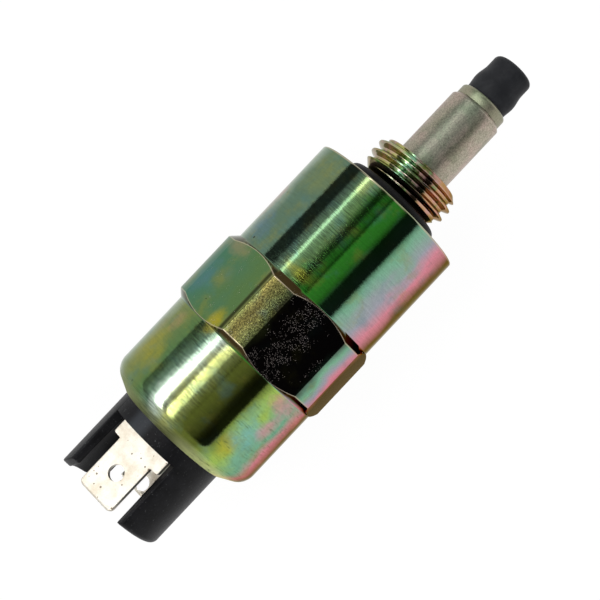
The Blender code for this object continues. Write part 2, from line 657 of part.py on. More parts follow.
# Magnet inside the body
add_spring("return_spring", SPRING_STEEL, solenoid)
turned("anti_stick_shim", box_section(SHIM_FRONT, SHIM_REAR, SPRING_POCKET_RADIUS + SEAT_GAP,
                                      BORE_RADIUS - SEAT_GAP), BRASS, solenoid)
turned("fixed_core", core_outline(), CORE_STEEL, solenoid)
turned("guide_tube", box_section(TUBE_STOP - SEAT_GAP, FLUX_WASHER_FRONT + SEAT_GAP, BORE_RADIUS,
                                 TUBE_RADIUS), BRASS, solenoid)
bobbin = turned("bobbin", bobbin_outline(), COIL_PLASTIC, solenoid)
coil_front = BOBBIN_FRONT - BOBBIN_FRONT_FLANGE - SEAT_GAP
coil_rear = BOBBIN_REAR + BOBBIN_REAR_FLANGE + SEAT_GAP
coil_inner = TUBE_RADIUS + 2 * SEAT_GAP + BOBBIN_HUB_WALL
coil_outer = CAVITY_RADIUS - COIL_CLEARANCE - COIL_WRAP_THICKNESS - SEAT_GAP
turned("coil_winding", box_section(coil_front, coil_rear, coil_inner, coil_outer), COPPER_WIRE, solenoid)
wrap_inner = coil_outer + SEAT_GAP
turned("coil_wrap", box_section(coil_front, coil_rear, wrap_inner, wrap_inner + COIL_WRAP_THICKNESS),
       WRAP_TAPE, solenoid)
flux_washer = turned("flux_washer", box_section(FLUX_WASHER_FRONT, FLUX_WASHER_REAR, BORE_RADIUS,
                                                CAVITY_RADIUS - SEAT_GAP), CORE_STEEL, solenoid)
seal_offset = SEAT_GAP / 2 + TUBE_SEAL_SECTION / 2
turned("front_tube_seal", ring_section(SEAL_FLOOR - seal_offset, TUBE_SEAL_RADIUS, TUBE_SEAL_SECTION),
       BLACK_RUBBER, solenoid)
turned("rear_tube_seal", ring_section(BOBBIN_REAR + seal_offset, TUBE_SEAL_RADIUS, TUBE_SEAL_SECTION),
       BLACK_RUBBER, solenoid)

# Electrical end, clamped under the rolled rim
gasket_outer = SKIRT_INNER_RADIUS - SEAT_GAP
gasket_front = SKIRT_STEP - SEAT_GAP
turned("connector_gasket", box_section(gasket_front, gasket_front - GASKET_THICKNESS,
                                       gasket_outer - GASKET_WIDTH, gasket_outer), BLACK_RUBBER, solenoid)
insulator = turned("insulating_disc", [(INSULATOR_FRONT, 0), (INSULATOR_FRONT, RECESS_RADIUS - SEAT_GAP),
                                       (INSULATOR_REAR, RECESS_RADIUS - SEAT_GAP), (INSULATOR_REAR, 0)],
                   FIBRE_BOARD, solenoid)
connector = turned("connector_base", connector_outline(), BLACK_MOULDING, solenoid, LARGE_COLUMNS)

sides = (
    ("front", 0.0, WING_END),
    ("rear", math.pi, WING_END + REAR_BLADE_SHORTER),
)
for side, turn, tip in sides:
    window = prism(f"{side}_window_cutter", window_outline(), 2 * WING_END, COLLAR_FACE, solenoid,
                   axial_frame(turn))
    cut(connector, window)
    slot_half = TAB_WIDTH / 2 + SEAT_GAP
    slot = [(-slot_half, BLADE_INNER_FACE - SEAT_GAP), (slot_half, BLADE_INNER_FACE - SEAT_GAP),
            (slot_half, BLADE_OUTER_FACE + SEAT_GAP), (-slot_half, BLADE_OUTER_FACE + SEAT_GAP)]
    cut(connector, prism(f"{side}_slot_cutter", slot, COLLAR_FACE - SEAT_GAP, RECESS_FLOOR + SEAT_GAP, solenoid,
                         axial_frame(turn)))

    frame = facing_frame(turn)
    blade = terminal_mesh(f"terminal_{side}", tip)
    blade.transform(frame)
    terminal = add_piece(f"terminal_{side}", blade, TINNED_BRASS, solenoid)
    hole = round_outline(BLADE_HOLE_DIAMETER / 2, 20, across=COLLAR_FACE - BLADE_HOLE_HEIGHT)
    cut(terminal, prism(f"{side}_hole_cutter", hole, BLADE_INNER_FACE - SEAT_GAP, BLADE_OUTER_FACE + SEAT_GAP,
                        solenoid, frame))

    add_lead(f"lead_{side}", frame, COPPER_WIRE, solenoid)
    passage = round_outline(LEAD_HOLE_DIAMETER / 2, 12, across=LEAD_OFFSET_ACROSS,
                            facing=LEAD_OFFSET_ALONG_FACING)
    lead_cutter = prism(f"{side}_lead_cutter", passage, 2 * INSULATOR_REAR, BOBBIN_REAR + 2 * BOBBIN_REAR_FLANGE,
                        solenoid, axial_frame(turn))
    for pierced in (bobbin, flux_washer, insulator):
        cut(pierced, lead_cutter)
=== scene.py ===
"""The look of a diesel shut-off solenoid: plated steel body with a hexagon, threaded nose and rolled rim,
zinc-plated plunger with a rubber tip, O-ring, and a black moulded connector with two tinned blades.

Stations run along the solenoid's axis from the sealing shoulder, plus towards the plunger's tip. The axis
lies along world +X. Angles round the axis are measured from +Y towards +Z.
"""

import math

import bmesh
import bpy
import numpy as np
from mathutils import Matrix, Vector


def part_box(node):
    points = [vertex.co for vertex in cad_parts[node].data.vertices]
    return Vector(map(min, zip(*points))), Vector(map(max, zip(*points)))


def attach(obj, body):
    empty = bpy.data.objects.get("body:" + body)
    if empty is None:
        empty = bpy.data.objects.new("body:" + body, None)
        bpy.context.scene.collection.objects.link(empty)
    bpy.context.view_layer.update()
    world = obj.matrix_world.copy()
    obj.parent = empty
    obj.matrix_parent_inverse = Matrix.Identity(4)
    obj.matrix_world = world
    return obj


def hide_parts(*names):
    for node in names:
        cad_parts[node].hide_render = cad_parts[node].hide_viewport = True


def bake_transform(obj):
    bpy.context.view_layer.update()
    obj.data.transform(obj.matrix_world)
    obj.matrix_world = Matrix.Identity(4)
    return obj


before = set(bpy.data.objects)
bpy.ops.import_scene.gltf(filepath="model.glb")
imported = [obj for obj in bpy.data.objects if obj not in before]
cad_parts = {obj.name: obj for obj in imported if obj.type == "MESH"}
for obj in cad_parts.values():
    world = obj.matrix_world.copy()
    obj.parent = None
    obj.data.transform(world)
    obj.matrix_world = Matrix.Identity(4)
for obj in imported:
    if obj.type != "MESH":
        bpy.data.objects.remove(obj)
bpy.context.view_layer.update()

MM = 0.001
FULL_TURN = 2 * math.pi

# Body housing: one steel turning with a threaded nose, a sealing shoulder, a spanner hexagon with its corners
# turned down, and a thin rear skirt rolled inwards over the connector. Zinc plated and yellow chromated, so
# that the film shows olive, green, teal and pink, with pale lines on its edges that are partly polish and
# partly painted highlight.
THREAD_DIAMETER = 13.8 * MM
THREAD_PITCH = 1.5 * MM
THREAD_DEPTH = 0.92 * MM
THREAD_CREST_AT_Y = 2.95 * MM
THREAD_ROW_STEP = 0.045 * MM
NOSE_LENGTH = 7.0 * MM
NOSE_CHAMFER = 1.0 * MM
NECK_LENGTH = 1.9 * MM
NECK_RADIUS = 5.45 * MM
RELIEF_RADIUS = 7.75 * MM
RELIEF_DEPTH = 0.55 * MM
FRONT_BARREL_RADIUS = 11.925 * MM
FRONT_BARREL_LENGTH = 16.9 * MM
HEXAGON_LENGTH = 11.7 * MM
HEXAGON_APOTHEM = 12.1 * MM
HEXAGON_CORNER_RADIUS = 13.05 * MM
EDGE_COLUMNS = math.radians(0.12), math.radians(0.4)
REAR_BARREL_RADIUS = 12.05 * MM
REAR_BARREL_LENGTH = 14.45 * MM
RIM_OPENING = 8.65 * MM
RIM_ROUND = 2.7 * MM
RIM_SLOPE = math.radians(62)
SKIRT_WALL = 1.1 * MM
SKIRT_STEP = -38.12 * MM
CAVITY_RADIUS = 10.4 * MM
CAVITY_FRONT = -4.2 * MM
SEAL_GROOVE_RADIUS = 6.6 * MM
SEAL_FLOOR = -2.4 * MM
TUBE_SEAT_RADIUS = 5.1 * MM
TUBE_STOP = -1.4 * MM
BORE_RADIUS = 4.4 * MM
EDGE_BREAK = 0.25 * MM
SMALL_BREAK = 0.06 * MM
HOLD = 0.04 * MM

HEXAGON_FRONT = -FRONT_BARREL_LENGTH
HEXAGON_REAR = HEXAGON_FRONT - HEXAGON_LENGTH
RIM_END = HEXAGON_REAR - REAR_BARREL_LENGTH
RIM_BEND_RADIUS = REAR_BARREL_RADIUS - RIM_ROUND
RIM_CONE_REACH = RIM_BEND_RADIUS + RIM_ROUND * math.cos(RIM_SLOPE) - RIM_OPENING
RIM_CENTRE = RIM_END + RIM_ROUND * math.sin(RIM_SLOPE) + RIM_CONE_REACH / math.tan(RIM_SLOPE)
THREAD_RADIUS = THREAD_DIAMETER / 2

housing_low, housing_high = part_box("body_housing")
SHOULDER_X = housing_high.x - NOSE_LENGTH
AXIS_Z = (housing_low.z + housing_high.z) / 2

# The photograph looks at the side that lies this far from +Y towards +Z round the axis
FACING_VIEWER = math.radians(72)


def tint(red, green, blue):
    """A display colour (0 to 255) as linear light: the power 2.4 of its share, straight when dark."""
    share = np.array((red, green, blue)) / 255
    linear = np.where(share <= 0.04045, share / 12.92, ((share + 0.055) / 1.055) ** 2.4)
    return (*linear.tolist(), 1.0)


def new_finish(name, metallic):
    """A material and its shader, which is a metal at 1 and not at 0."""
    made = bpy.data.materials.new(name)
    made.use_nodes = True
    shader = made.node_tree.nodes["Principled BSDF"]
    shader.inputs["Metallic"].default_value = metallic
    return made, made.node_tree, shader


def put(tree, socket, value):
    """Links a node's first output, or a given output, to a socket, or sets the socket to a value."""
    if isinstance(value, bpy.types.Node):
        value = value.outputs[0]
    if isinstance(value, bpy.types.NodeSocket):
        tree.links.new(value, socket)
    else:
        socket.default_value = value


def step(tree, kind, inputs=(), **settings):
    """Adds one node: its settings first, then its inputs as pairs of socket and value."""
    made = tree.nodes.new(f"ShaderNode{kind}")
    for setting, value in settings.items():
        setattr(made, setting, value)
    for socket, value in inputs:
        put(tree, made.inputs[socket], value)
    return made


def sum_of(tree, operation, *values):
    """One arithmetic step on numbers."""
    return step(tree, "Math", enumerate(values), operation=operation)


def times(tree, first, second):
    """Two numbers multiplied."""
    return sum_of(tree, "MULTIPLY", first, second)


def away_from(tree, value, centre):
    """How far a number is from a centre, either way."""
    return sum_of(tree, "ABSOLUTE", sum_of(tree, "SUBTRACT", value, centre))


def mixed(tree, share, first, second, blend_type="MIX"):
    """Two colours mixed by a share."""
    made = step(tree, "Mix", ((0, share), (6, first), (7, second)), data_type="RGBA", blend_type=blend_type)
    return made.outputs[2]


def shaded(tree, colour, share):
    """A colour times a share."""
    return mixed(tree, 1.0, colour, share, "MULTIPLY")


def banded(tree, value, low, high, start=0.0, end=1.0):
    """A smooth step from start to end while the value goes from low to high."""
    limits = enumerate((value, low, high, start, end))
    return step(tree, "MapRange", limits, interpolation_type="SMOOTHSTEP")


def colour_ramp(tree, value, stops):
    """Colours along a value of 0 to 1, from pairs of place and colour."""
    made = step(tree, "ValToRGB", ((0, value),))
    elements = made.color_ramp.elements
    while len(elements) < len(stops):
        elements.new(1.0)
    for element, (place, colour) in zip(elements, stops):
        element.position = place
        element.color = colour
    return made


def noise(tree, place, scale, detail=2.0, roughness=0.5):
    """Soft cloudy noise of 0 to 1, with this many waves in a unit of its coordinates."""
    values = (("Vector", place), ("Scale", scale), ("Detail", detail), ("Roughness", roughness))
    return step(tree, "TexNoise", values)


def station_lines(tree, station, scale, detail, roughness=0.5):
    """Lines round the axis: noise of 0 to 1 that changes with the station only."""
    values = (("W", station), ("Scale", scale), ("Detail", detail), ("Roughness", roughness))
    return step(tree, "TexNoise", values, noise_dimensions="1D")


def moved_by(tree, place, location=(0, 0, 0), scale=(1, 1, 1)):
    """Coordinates scaled and then moved, so that a pattern is stretched or shows another part."""
    return step(tree, "Mapping", (("Vector", place), ("Location", location), ("Scale", scale)))


def dots(tree, place, scale, size):
    """1 inside a round dot of this size in each cell of a Voronoi pattern, else 0."""
    cells = step(tree, "TexVoronoi", (("Vector", place), ("Scale", scale)))
    return sum_of(tree, "LESS_THAN", cells.outputs["Distance"], size)


def coat(tree, shader, colour, rough, height, strength, depth):
    """Gives the shader its colour, its roughness and a relief, which is this deep at a height of 1."""
    put(tree, shader.inputs["Base Color"], colour)
    put(tree, shader.inputs["Roughness"], rough)
    bump = step(tree, "Bump", (("Strength", strength), ("Distance", depth), ("Height", height)))
    put(tree, shader.inputs["Normal"], bump)


def axis_coordinates(tree):
    """Millimetres along the axis from the shoulder and across it, from the piece's own coordinates. Gives the
    vector, the station and the share of a turn round the axis, which is a half on the viewer's side."""
    place = step(tree, "TexCoord").outputs["Object"]
    moved = moved_by(tree, place, (-SHOULDER_X / MM, 0, -AXIS_Z / MM), (1 / MM, 1 / MM, 1 / MM))
    parts = step(tree, "SeparateXYZ", ((0, moved),))
    angle = sum_of(tree, "ARCTAN2", parts.outputs[2], parts.outputs[1])
    turned = sum_of(tree, "SUBTRACT", angle, FACING_VIEWER - FULL_TURN / 2)
    share = sum_of(tree, "FRACT", sum_of(tree, "DIVIDE", turned, FULL_TURN))
    return moved, parts.outputs[0], share


def grid_faces(rows, columns, close_rows=False):
    """Quads between the neighbours of a grid of points numbered row by row, closed from column to column."""
    row, column = np.mgrid[0:rows - (not close_rows), 0:columns]
    after, beside = (row + 1) % rows, (column + 1) % columns
    near, far = row * columns, after * columns
    return np.stack((near + column, far + column, far + beside, near + beside), axis=-1).reshape(-1, 4)


def make_piece(name, points, faces, finish, **marks):
    """A smooth closed piece from arrays of points and quads: doubled points are merged, and the faces are
    turned outwards if the volume comes out negative. Each mark is a number kept at every point."""
    mesh = bpy.data.meshes.new(name)
    mesh.from_pydata(points.reshape(-1, 3).tolist(), [], faces.tolist())
    for mark, values in marks.items():
        layer = mesh.attributes.new(mark, "FLOAT", "POINT")
        layer.data.foreach_set("value", values.astype(np.float32).ravel())
    bm = bmesh.new()
    bm.from_mesh(mesh)
    bmesh.ops.remove_doubles(bm, verts=bm.verts, dist=0.0002 * MM)
    bmesh.ops.dissolve_degenerate(bm, edges=bm.edges, dist=0.0001 * MM)
    if bm.calc_volume(signed=True) < 0:
        bmesh.ops.reverse_faces(bm, faces=bm.faces)
    bm.to_mesh(mesh)
    bm.free()
    mesh.shade_smooth()
    mesh.materials.append(finish)
    made = bpy.data.objects.new(name, mesh)
    bpy.context.scene.collection.objects.link(made)
    return made


def on_axis(station, radius, angles):
    """Points at each angle: x is the station, y and z are the radius times its cosine and sine."""
    station, radius = np.broadcast_arrays(station, radius * np.ones(len(angles)))
    across, up = radius * np.cos(angles), radius * np.sin(angles)
    return np.stack([SHOULDER_X + station, across, AXIS_Z + up], axis=-1)


def arc(station, radius, size, start, end, steps):
    """Corners of an arc round (station, radius), from one angle to another; 90 degrees points outwards."""
    angles = np.radians(np.linspace(start, end, steps + 1))
    return [(station + size * math.cos(a), radius + size * math.sin(a), 0) for a in angles]


def softened(corners, closed=False):
    """Rounds the corners of a profile. Each corner is (station, radius, round): the curve there is the
    parabola that leaves one side and meets the other at that distance, with a held point past each end.
    Gives stations, radii, and a mark that is 1 on the rounds."""
    place, size = np.array(corners, float)[:, :2], np.array(corners, float)[:, 2]
    before, after = np.roll(place, 1, axis=0) - place, np.roll(place, -1, axis=0) - place
    before /= np.maximum(np.linalg.norm(before, axis=1), 1e-12)[:, None]
    after /= np.maximum(np.linalg.norm(after, axis=1), 1e-12)[:, None]
    if not closed:
        size[[0, -1]] = 0
    share = np.linspace(0, 1, 6)[None, :, None]
    reach = size[:, None, None]
    middle = place[:, None]
    first = middle + before[:, None] * reach
    last = middle + after[:, None] * reach
    curve = (1 - share) ** 2 * first + 2 * share * (1 - share) * middle + share**2 * last
    held = np.where(size > 0, size + HOLD, 0)[:, None, None]
    rows = np.concatenate([middle + before[:, None] * held, curve, middle + after[:, None] * held], axis=1)
    rounded = np.zeros(rows.shape[:2])
    rounded[:, 1:-1] = (size > 0)[:, None]
    return rows[..., 0].ravel(), rows[..., 1].ravel(), rounded.ravel()


def carried(profile, columns):
    """Each column of a softened profile repeated at every angle round the axis."""
    return [values[:, None] * np.ones(columns) for values in profile]


def turned_piece(name, corners, finish, columns, closed=False):
    """A turned piece: its softened profile carried round the axis at even angles."""
    station, radius, edge = softened(corners, closed)
    angles = np.arange(columns) * FULL_TURN / columns
    points = on_axis(station[:, None], radius[:, None], angles)
    faces = grid_faces(len(station), columns, close_rows=closed)
    return make_piece(name, points, faces, finish, edge=edge[:, None] * np.ones(columns))


def hexagon_columns():
    """Angles round the body: even steps on each flat and corner band, closer at the edges between them."""
    half_flat = math.acos(HEXAGON_APOTHEM / HEXAGON_CORNER_RADIUS)
    near, far = EDGE_COLUMNS
    flat = np.linspace(far - half_flat, half_flat - far, 23)
    band = np.linspace(half_flat + far, FULL_TURN / 6 - half_flat - far, 9)
    edges = [half_flat - near, half_flat + near, near - half_flat, -near - half_flat]
    sixth = np.concatenate([flat, band, edges])
    flats = np.arange(6)[:, None] * FULL_TURN / 6 + FULL_TURN / 4
    return np.sort(((sixth[None, :] + flats) % FULL_TURN).ravel())


def hexagon_radius(angles):
    """Distance from the axis to a hexagon with a flat on top, and never more than the corner circle."""
    sixth = FULL_TURN / 6
    off = (angles - FULL_TURN / 4 + sixth / 2) % sixth - sixth / 2
    return np.minimum(HEXAGON_APOTHEM / np.cos(off), HEXAGON_CORNER_RADIUS)


def thread_surface(angles):
    """Stations and radii of the nose. A right-hand vee is at its crest where the station less a pitch for
    each turn is a whole number of pitches, and falls over 5/16 of a pitch to its root. The ends are 45
    degree cones."""
    station = np.arange(NOSE_LENGTH, NECK_LENGTH, -THREAD_ROW_STEP)[:, None]
    turns = (THREAD_CREST_AT_Y - station) / THREAD_PITCH + angles / FULL_TURN
    off_crest = np.abs(turns - np.round(turns))
    height = np.clip((3 / 8 - off_crest) / (5 / 16), 0, 1)
    height = 0.55 * height + 0.45 * height**2 * (3 - 2 * height)
    radius = THREAD_RADIUS - THREAD_DEPTH * (1 - height)
    chamfer = THREAD_RADIUS - NOSE_CHAMFER + NOSE_LENGTH - station
    runout = NECK_RADIUS + station - NECK_LENGTH
    return station, np.minimum(np.minimum(radius, chamfer), runout)


def housing_surface():
    """The whole body as one grid closed in both directions: the thread, the shoulder, then rows whose station
    and radius follow the hexagon's rise over the barrels, then the rolled rim and the inside back to the
    nose."""
    angles = hexagon_columns()
    hexagon = hexagon_radius(angles)
    front_rise, rear_rise = hexagon - FRONT_BARREL_RADIUS, hexagon - REAR_BARREL_RADIUS
    thread_station, thread_radius = thread_surface(angles)
    front = softened([
        (NECK_LENGTH, NECK_RADIUS, 0),
        (-RELIEF_DEPTH, NECK_RADIUS, SMALL_BREAK),
        (-RELIEF_DEPTH, RELIEF_RADIUS, SMALL_BREAK),
        (0, RELIEF_RADIUS, SMALL_BREAK),
        (0, FRONT_BARREL_RADIUS, EDGE_BREAK),
        (HEXAGON_FRONT + HOLD, FRONT_BARREL_RADIUS, 0),
    ])
    # Rows over the hexagon: station offset, share of the front and rear rise, start radius, share of hexagon
    # radius, radius offset and edge mark
    cone = [(0, 0), (0.06, 0), (0.5, 0), (0.9, 0)]
    edge = [
        (SMALL_BREAK, -SMALL_BREAK, 1),
        (0.2 * SMALL_BREAK, -0.25 * SMALL_BREAK, 1),
        (-SMALL_BREAK, 0, 1),
        (-SMALL_BREAK - HOLD, 0, 0),
    ]
    up = [(HEXAGON_FRONT, -share, 0, FRONT_BARREL_RADIUS, share, 0, mark) for share, mark in cone]
    up += [(HEXAGON_FRONT + along, -1, 0, 0, 1, out, mark) for along, out, mark in edge]
    down = [(HEXAGON_REAR - along, 0, 1, 0, 1, out, mark) for along, out, mark in reversed(edge)]
    down += [(HEXAGON_REAR, 0, share, REAR_BARREL_RADIUS, share, 0, mark) for share, mark in reversed(cone)]
    offset, by_front, by_rear, start, share, out, mark = np.array(up + down).T[..., None]
    hexagon_station = offset + by_front * front_rise + by_rear * rear_rise
    hexagon_rows = start * (1 - share) + share * hexagon + out
    bend_end = 90 + math.degrees(RIM_SLOPE)
    rear = softened([
        (HEXAGON_REAR - HOLD, REAR_BARREL_RADIUS, 0),
        (RIM_CENTRE + HOLD, REAR_BARREL_RADIUS, 0),
        *arc(RIM_CENTRE, RIM_BEND_RADIUS, RIM_ROUND, 90, bend_end, 16),
        (RIM_END, RIM_OPENING, 2 * SMALL_BREAK),
        (RIM_END + SKIRT_WALL / math.sin(RIM_SLOPE), RIM_OPENING, SMALL_BREAK),
        *arc(RIM_CENTRE, RIM_BEND_RADIUS, RIM_ROUND - SKIRT_WALL, bend_end, 90, 8),
        (SKIRT_STEP, REAR_BARREL_RADIUS - SKIRT_WALL, SMALL_BREAK),
        (SKIRT_STEP, CAVITY_RADIUS, SMALL_BREAK),
        (CAVITY_FRONT, CAVITY_RADIUS, SMALL_BREAK),
        (CAVITY_FRONT, SEAL_GROOVE_RADIUS, SMALL_BREAK),
        (SEAL_FLOOR, SEAL_GROOVE_RADIUS, SMALL_BREAK),
        (SEAL_FLOOR, TUBE_SEAT_RADIUS, SMALL_BREAK),
        (TUBE_STOP, TUBE_SEAT_RADIUS, SMALL_BREAK),
        (TUBE_STOP, BORE_RADIUS, SMALL_BREAK),
        (NOSE_LENGTH, BORE_RADIUS, EDGE_BREAK),
        (NOSE_LENGTH, THREAD_RADIUS - NOSE_CHAMFER, 0),
    ])
    round_body = np.ones(len(angles))
    thread = (thread_station * round_body, thread_radius, 0 * thread_radius)
    over_hexagon = (hexagon_station, hexagon_rows, mark * round_body)
    bands = (thread, carried(front, len(angles)), over_hexagon, carried(rear, len(angles)))
    return angles, *(np.concatenate(rows) for rows in zip(*bands))


# The chromate film's tones, as round display colours
OLIVE, MOSS, LEAF, FERN = (120, 130, 80), (90, 100, 40), (50, 125, 40), (85, 115, 70)
SAGE, TEAL, MINT, LIME = (90, 115, 95), (70, 115, 95), (120, 170, 140), (155, 185, 90)
STRAW, SILVER, LILAC, PINK = (170, 175, 105), (180, 195, 180), (155, 155, 165), (215, 135, 150)
UMBER, SOOT, BROWN, BRONZE = (110, 95, 75), (55, 50, 50), (55, 40, 20), (140, 130, 75)
COPPER, GOLD, AQUA, BLUE = (185, 145, 105), (170, 155, 30), (110, 175, 180), (90, 120, 145)

# Fields of tone round each part of the body, from degrees off the side that faces the viewer
FRONT_BARREL_FILM = (
    (-180, OLIVE), (-130, OLIVE), (-88, SILVER), (-60, SAGE), (-28, SAGE), (-12, FERN), (-3, LEAF),
    (10, LEAF), (28, MINT), (42, LILAC), (54, PINK), (70, UMBER), (110, BRONZE), (180, OLIVE),
)
HEXAGON_FILM = (
    (-180, OLIVE), (-130, OLIVE), (-66, TEAL), (-42, FERN), (-26, FERN), (-16, BRONZE), (-6, OLIVE),
    (0, SOOT), (38, SOOT), (45, MINT), (50, LILAC), (56, PINK), (64, BROWN), (84, BROWN), (120, BRONZE),
    (180, OLIVE),
)
REAR_BARREL_FILM = (
    (-180, OLIVE), (-130, OLIVE), (-88, SILVER), (-62, OLIVE), (-38, FERN), (-28, SAGE), (-20, SILVER),
    (-13, STRAW), (-6, OLIVE), (2, MOSS), (16, MOSS), (30, LIME), (35, LIME), (44, MINT), (54, MINT),
    (64, PINK), (74, UMBER), (120, BRONZE), (180, OLIVE),
)
THREAD_FILM = (
    (-180, BRONZE), (-60, BRONZE), (-35, STRAW), (-20, MINT), (-2, MOSS), (12, UMBER), (30, COPPER),
    (60, COPPER), (90, BRONZE), (180, BRONZE),
)

# What brings a share of a turn to the thread's phase, and the phase in the middle of a rear flank
FLANK_PHASE = (FACING_VIEWER / FULL_TURN - 0.5) % 1
REAR_FLANK_PHASE = 0.75

# Display colours laid over the film; some of them are painted light and shade
THREAD_ROSE, THREAD_GREEN, FLANK_PAINTED_LIGHT = (206, 150, 160), (92, 140, 78), (216, 170, 168)
OLIVE_HAZE, TEAL_HAZE = (136, 134, 58), (80, 124, 128)
RIM_ABOVE, RIM_PAINTED_LIGHT = (132, 138, 92), (238, 244, 178)
CONE_SHADE, PALE_EDGE_AND_HIGHLIGHT, DARK_SPECK, PALE_DUST = (58, 46, 24), (200, 184, 160), (46, 34, 22), (158, 150, 146)
DARK_SCRATCH, SHADE_LINE_TONE = (62, 88, 44), (34, 36, 20)
GLANCE, GLANCE_BELOW, GLANCE_ON_HEXAGON = (222, 226, 220), (190, 178, 154), (136, 118, 82)

# Middles of the worn places and of the painted light and shade, as shares of a turn, a half being the side
# that faces the viewer
STREAK_LIGHT_SIDE = 0.445
SCRATCHED_SIDE = 0.62
MOTTLED_SIDE = 0.47
SHADE_LINE_SIDE = 0.4375
DUSTY_SIDE = 0.537

# Clouds in the film: millimetres from the shoulder, degrees from the viewer, half length, half angle, tone
# and strength
FILM_CLOUDS = (
    (-38.4, 31, 2.0, 6, GOLD, 0.8), (-34.6, 31, 3.2, 6, MINT, 0.7), (-35.4, 38, 2.4, 8, AQUA, 0.6),
    (-33.4, 47, 2.0, 6, PINK, 0.6), (-29.6, 43, 1.3, 11, PINK, 0.65), (-41.0, 38, 1.6, 10, LIME, 0.6),
    (-35.0, 67, 6.0, 5, PINK, 0.6), (-36.0, -58, 3.0, 12, GOLD, 0.5), (-31.1, -54, 1.4, 5, COPPER, 0.4),
    (-33.0, -68, 1.6, 6, BRONZE, 0.5), (-27.6, -29, 1.8, 5, GOLD, 0.8), (-24.0, -62, 2.4, 6, BLUE, 0.35),
    (-22.8, -50, 1.6, 6, BRONZE, 0.3), (-20.5, -44, 2.4, 9, TEAL, 0.35), (-18.2, -60, 1.2, 12, COPPER, 0.35),
    (-25.5, -38, 2.0, 6, TEAL, 0.4), (-22.8, 56, 2.8, 4, PINK, 0.8), (-18.6, 56, 1.8, 4, PINK, 0.7),
    (-14.0, -62, 2.4, 11, BLUE, 0.5), (-9.6, -86, 3.4, 12, PINK, 0.6), (-3.6, -52, 3.0, 14, OLIVE, 0.6),
    (-15.6, -10, 0.7, 8, GOLD, 0.4), (-1.0, -19, 2.0, 4, STRAW, 0.3), (-12.6, 38, 2.6, 6, LILAC, 0.6),
    (-6.4, 30, 3.4, 4, MINT, 0.7), (-6.0, 40, 2.8, 5, MINT, 0.6), (-8.0, 49, 3.4, 4, LILAC, 0.7),
)


def film_ramp(tree, share, film):
    """The film's colours round the axis, from its angles and display colours."""
    return colour_ramp(tree, share, [(0.5 + angle / 360, tint(*colour)) for angle, colour in film])


def film_clouds(tree, place, station, share, colour):
    """Lays each cloud over a colour: an ellipse in station and angle whose edge wanders with a noise."""
    ragged = sum_of(tree, "MULTIPLY_ADD", noise(tree, place, 0.45, 4, 0.6), 4.0, -2.0)
    for along, turn, length, width, cloud, strength in FILM_CLOUDS:
        off = sum_of(tree, "MULTIPLY_ADD", station, 1 / length, -along / length)
        aside = sum_of(tree, "MULTIPLY_ADD", share, 360 / width, -(180 + turn) / width)
        far = sum_of(tree, "MULTIPLY_ADD", off, off, times(tree, aside, aside))
        far = sum_of(tree, "ADD", far, ragged)
        colour = mixed(tree, banded(tree, far, -0.8, 2.2, strength, 0.0), colour, tint(*cloud))
    return colour


def thread_colour(tree, place, station, share, drifting):
    """The thread's fields with rose and green glints by a noise, and rear flanks painted paler by their
    phase, as painted light.
    """
    colour = film_ramp(tree, drifting, THREAD_FILM)
    glints = noise(tree, place, 0.8, 3)
    colour = mixed(tree, banded(tree, glints, 0.5, 0.66, 0.0, 0.4), colour, tint(*THREAD_ROSE))
    colour = mixed(tree, banded(tree, glints, 0.32, 0.46, 0.75, 0.0), colour, tint(*THREAD_GREEN))
    groove = sum_of(tree, "MULTIPLY_ADD", station, MM / THREAD_PITCH, -THREAD_CREST_AT_Y / THREAD_PITCH)
    turned = sum_of(tree, "ADD", share, FLANK_PHASE)
    phase = sum_of(tree, "FRACT", sum_of(tree, "SUBTRACT", groove, turned))
    # The rear flanks are painted paler: painted light.
    lit_rear_flank = banded(tree, away_from(tree, phase, REAR_FLANK_PHASE), 0.18, 0.26, 0.55, 0.0)
    return mixed(tree, lit_rear_flank, colour, mixed(tree, 0.6, colour, tint(*FLANK_PAINTED_LIGHT)))


def film_colour(tree, place, station, share, marks):
    """A field of tone for each part of the body that drifts round it with a noise, clouds, soft olive and
    teal haze, a rim painted paler below as painted light, and painted shade on the cones at the hexagon's
    ends."""
    drift = noise(tree, place, 0.2, 3)
    drifting = sum_of(tree, "MULTIPLY_ADD", sum_of(tree, "SUBTRACT", drift, 0.5), 0.05, share)
    colour = film_ramp(tree, drifting, FRONT_BARREL_FILM)
    colour = mixed(tree, marks["hexagon"], colour, film_ramp(tree, drifting, HEXAGON_FILM))
    colour = mixed(tree, marks["rear"], colour, film_ramp(tree, drifting, REAR_BARREL_FILM))
    colour = film_clouds(tree, place, station, share, colour)
    colour = mixed(tree, marks["thread"], colour, thread_colour(tree, place, station, share, drifting))
    olive = banded(tree, noise(tree, place, 0.33, 4, 0.6), 0.52, 0.72, 0.0, 0.3)
    colour = mixed(tree, olive, colour, tint(*OLIVE_HAZE))
    elsewhere = moved_by(tree, place, (40, 17, 5))
    teal = banded(tree, noise(tree, elsewhere, 0.28, 4, 0.6), 0.52, 0.74, 0.0, 0.3)
    colour = mixed(tree, teal, colour, tint(*TEAL_HAZE))
    on_rim = banded(tree, station, RIM_END / MM + 0.4, RIM_CENTRE / MM - 1.4, 0.8, 0.0)
    # The rim's lower side is painted paler: painted light.
    rim_tone_and_light = mixed(tree, banded(tree, share, 0.49, 0.57), tint(*RIM_ABOVE), tint(*RIM_PAINTED_LIGHT))
    colour = mixed(tree, on_rim, colour, rim_tone_and_light)
    # The hexagon's end cones get a painted shade colour.
    return mixed(tree, marks["cone"], colour, tint(*CONE_SHADE))


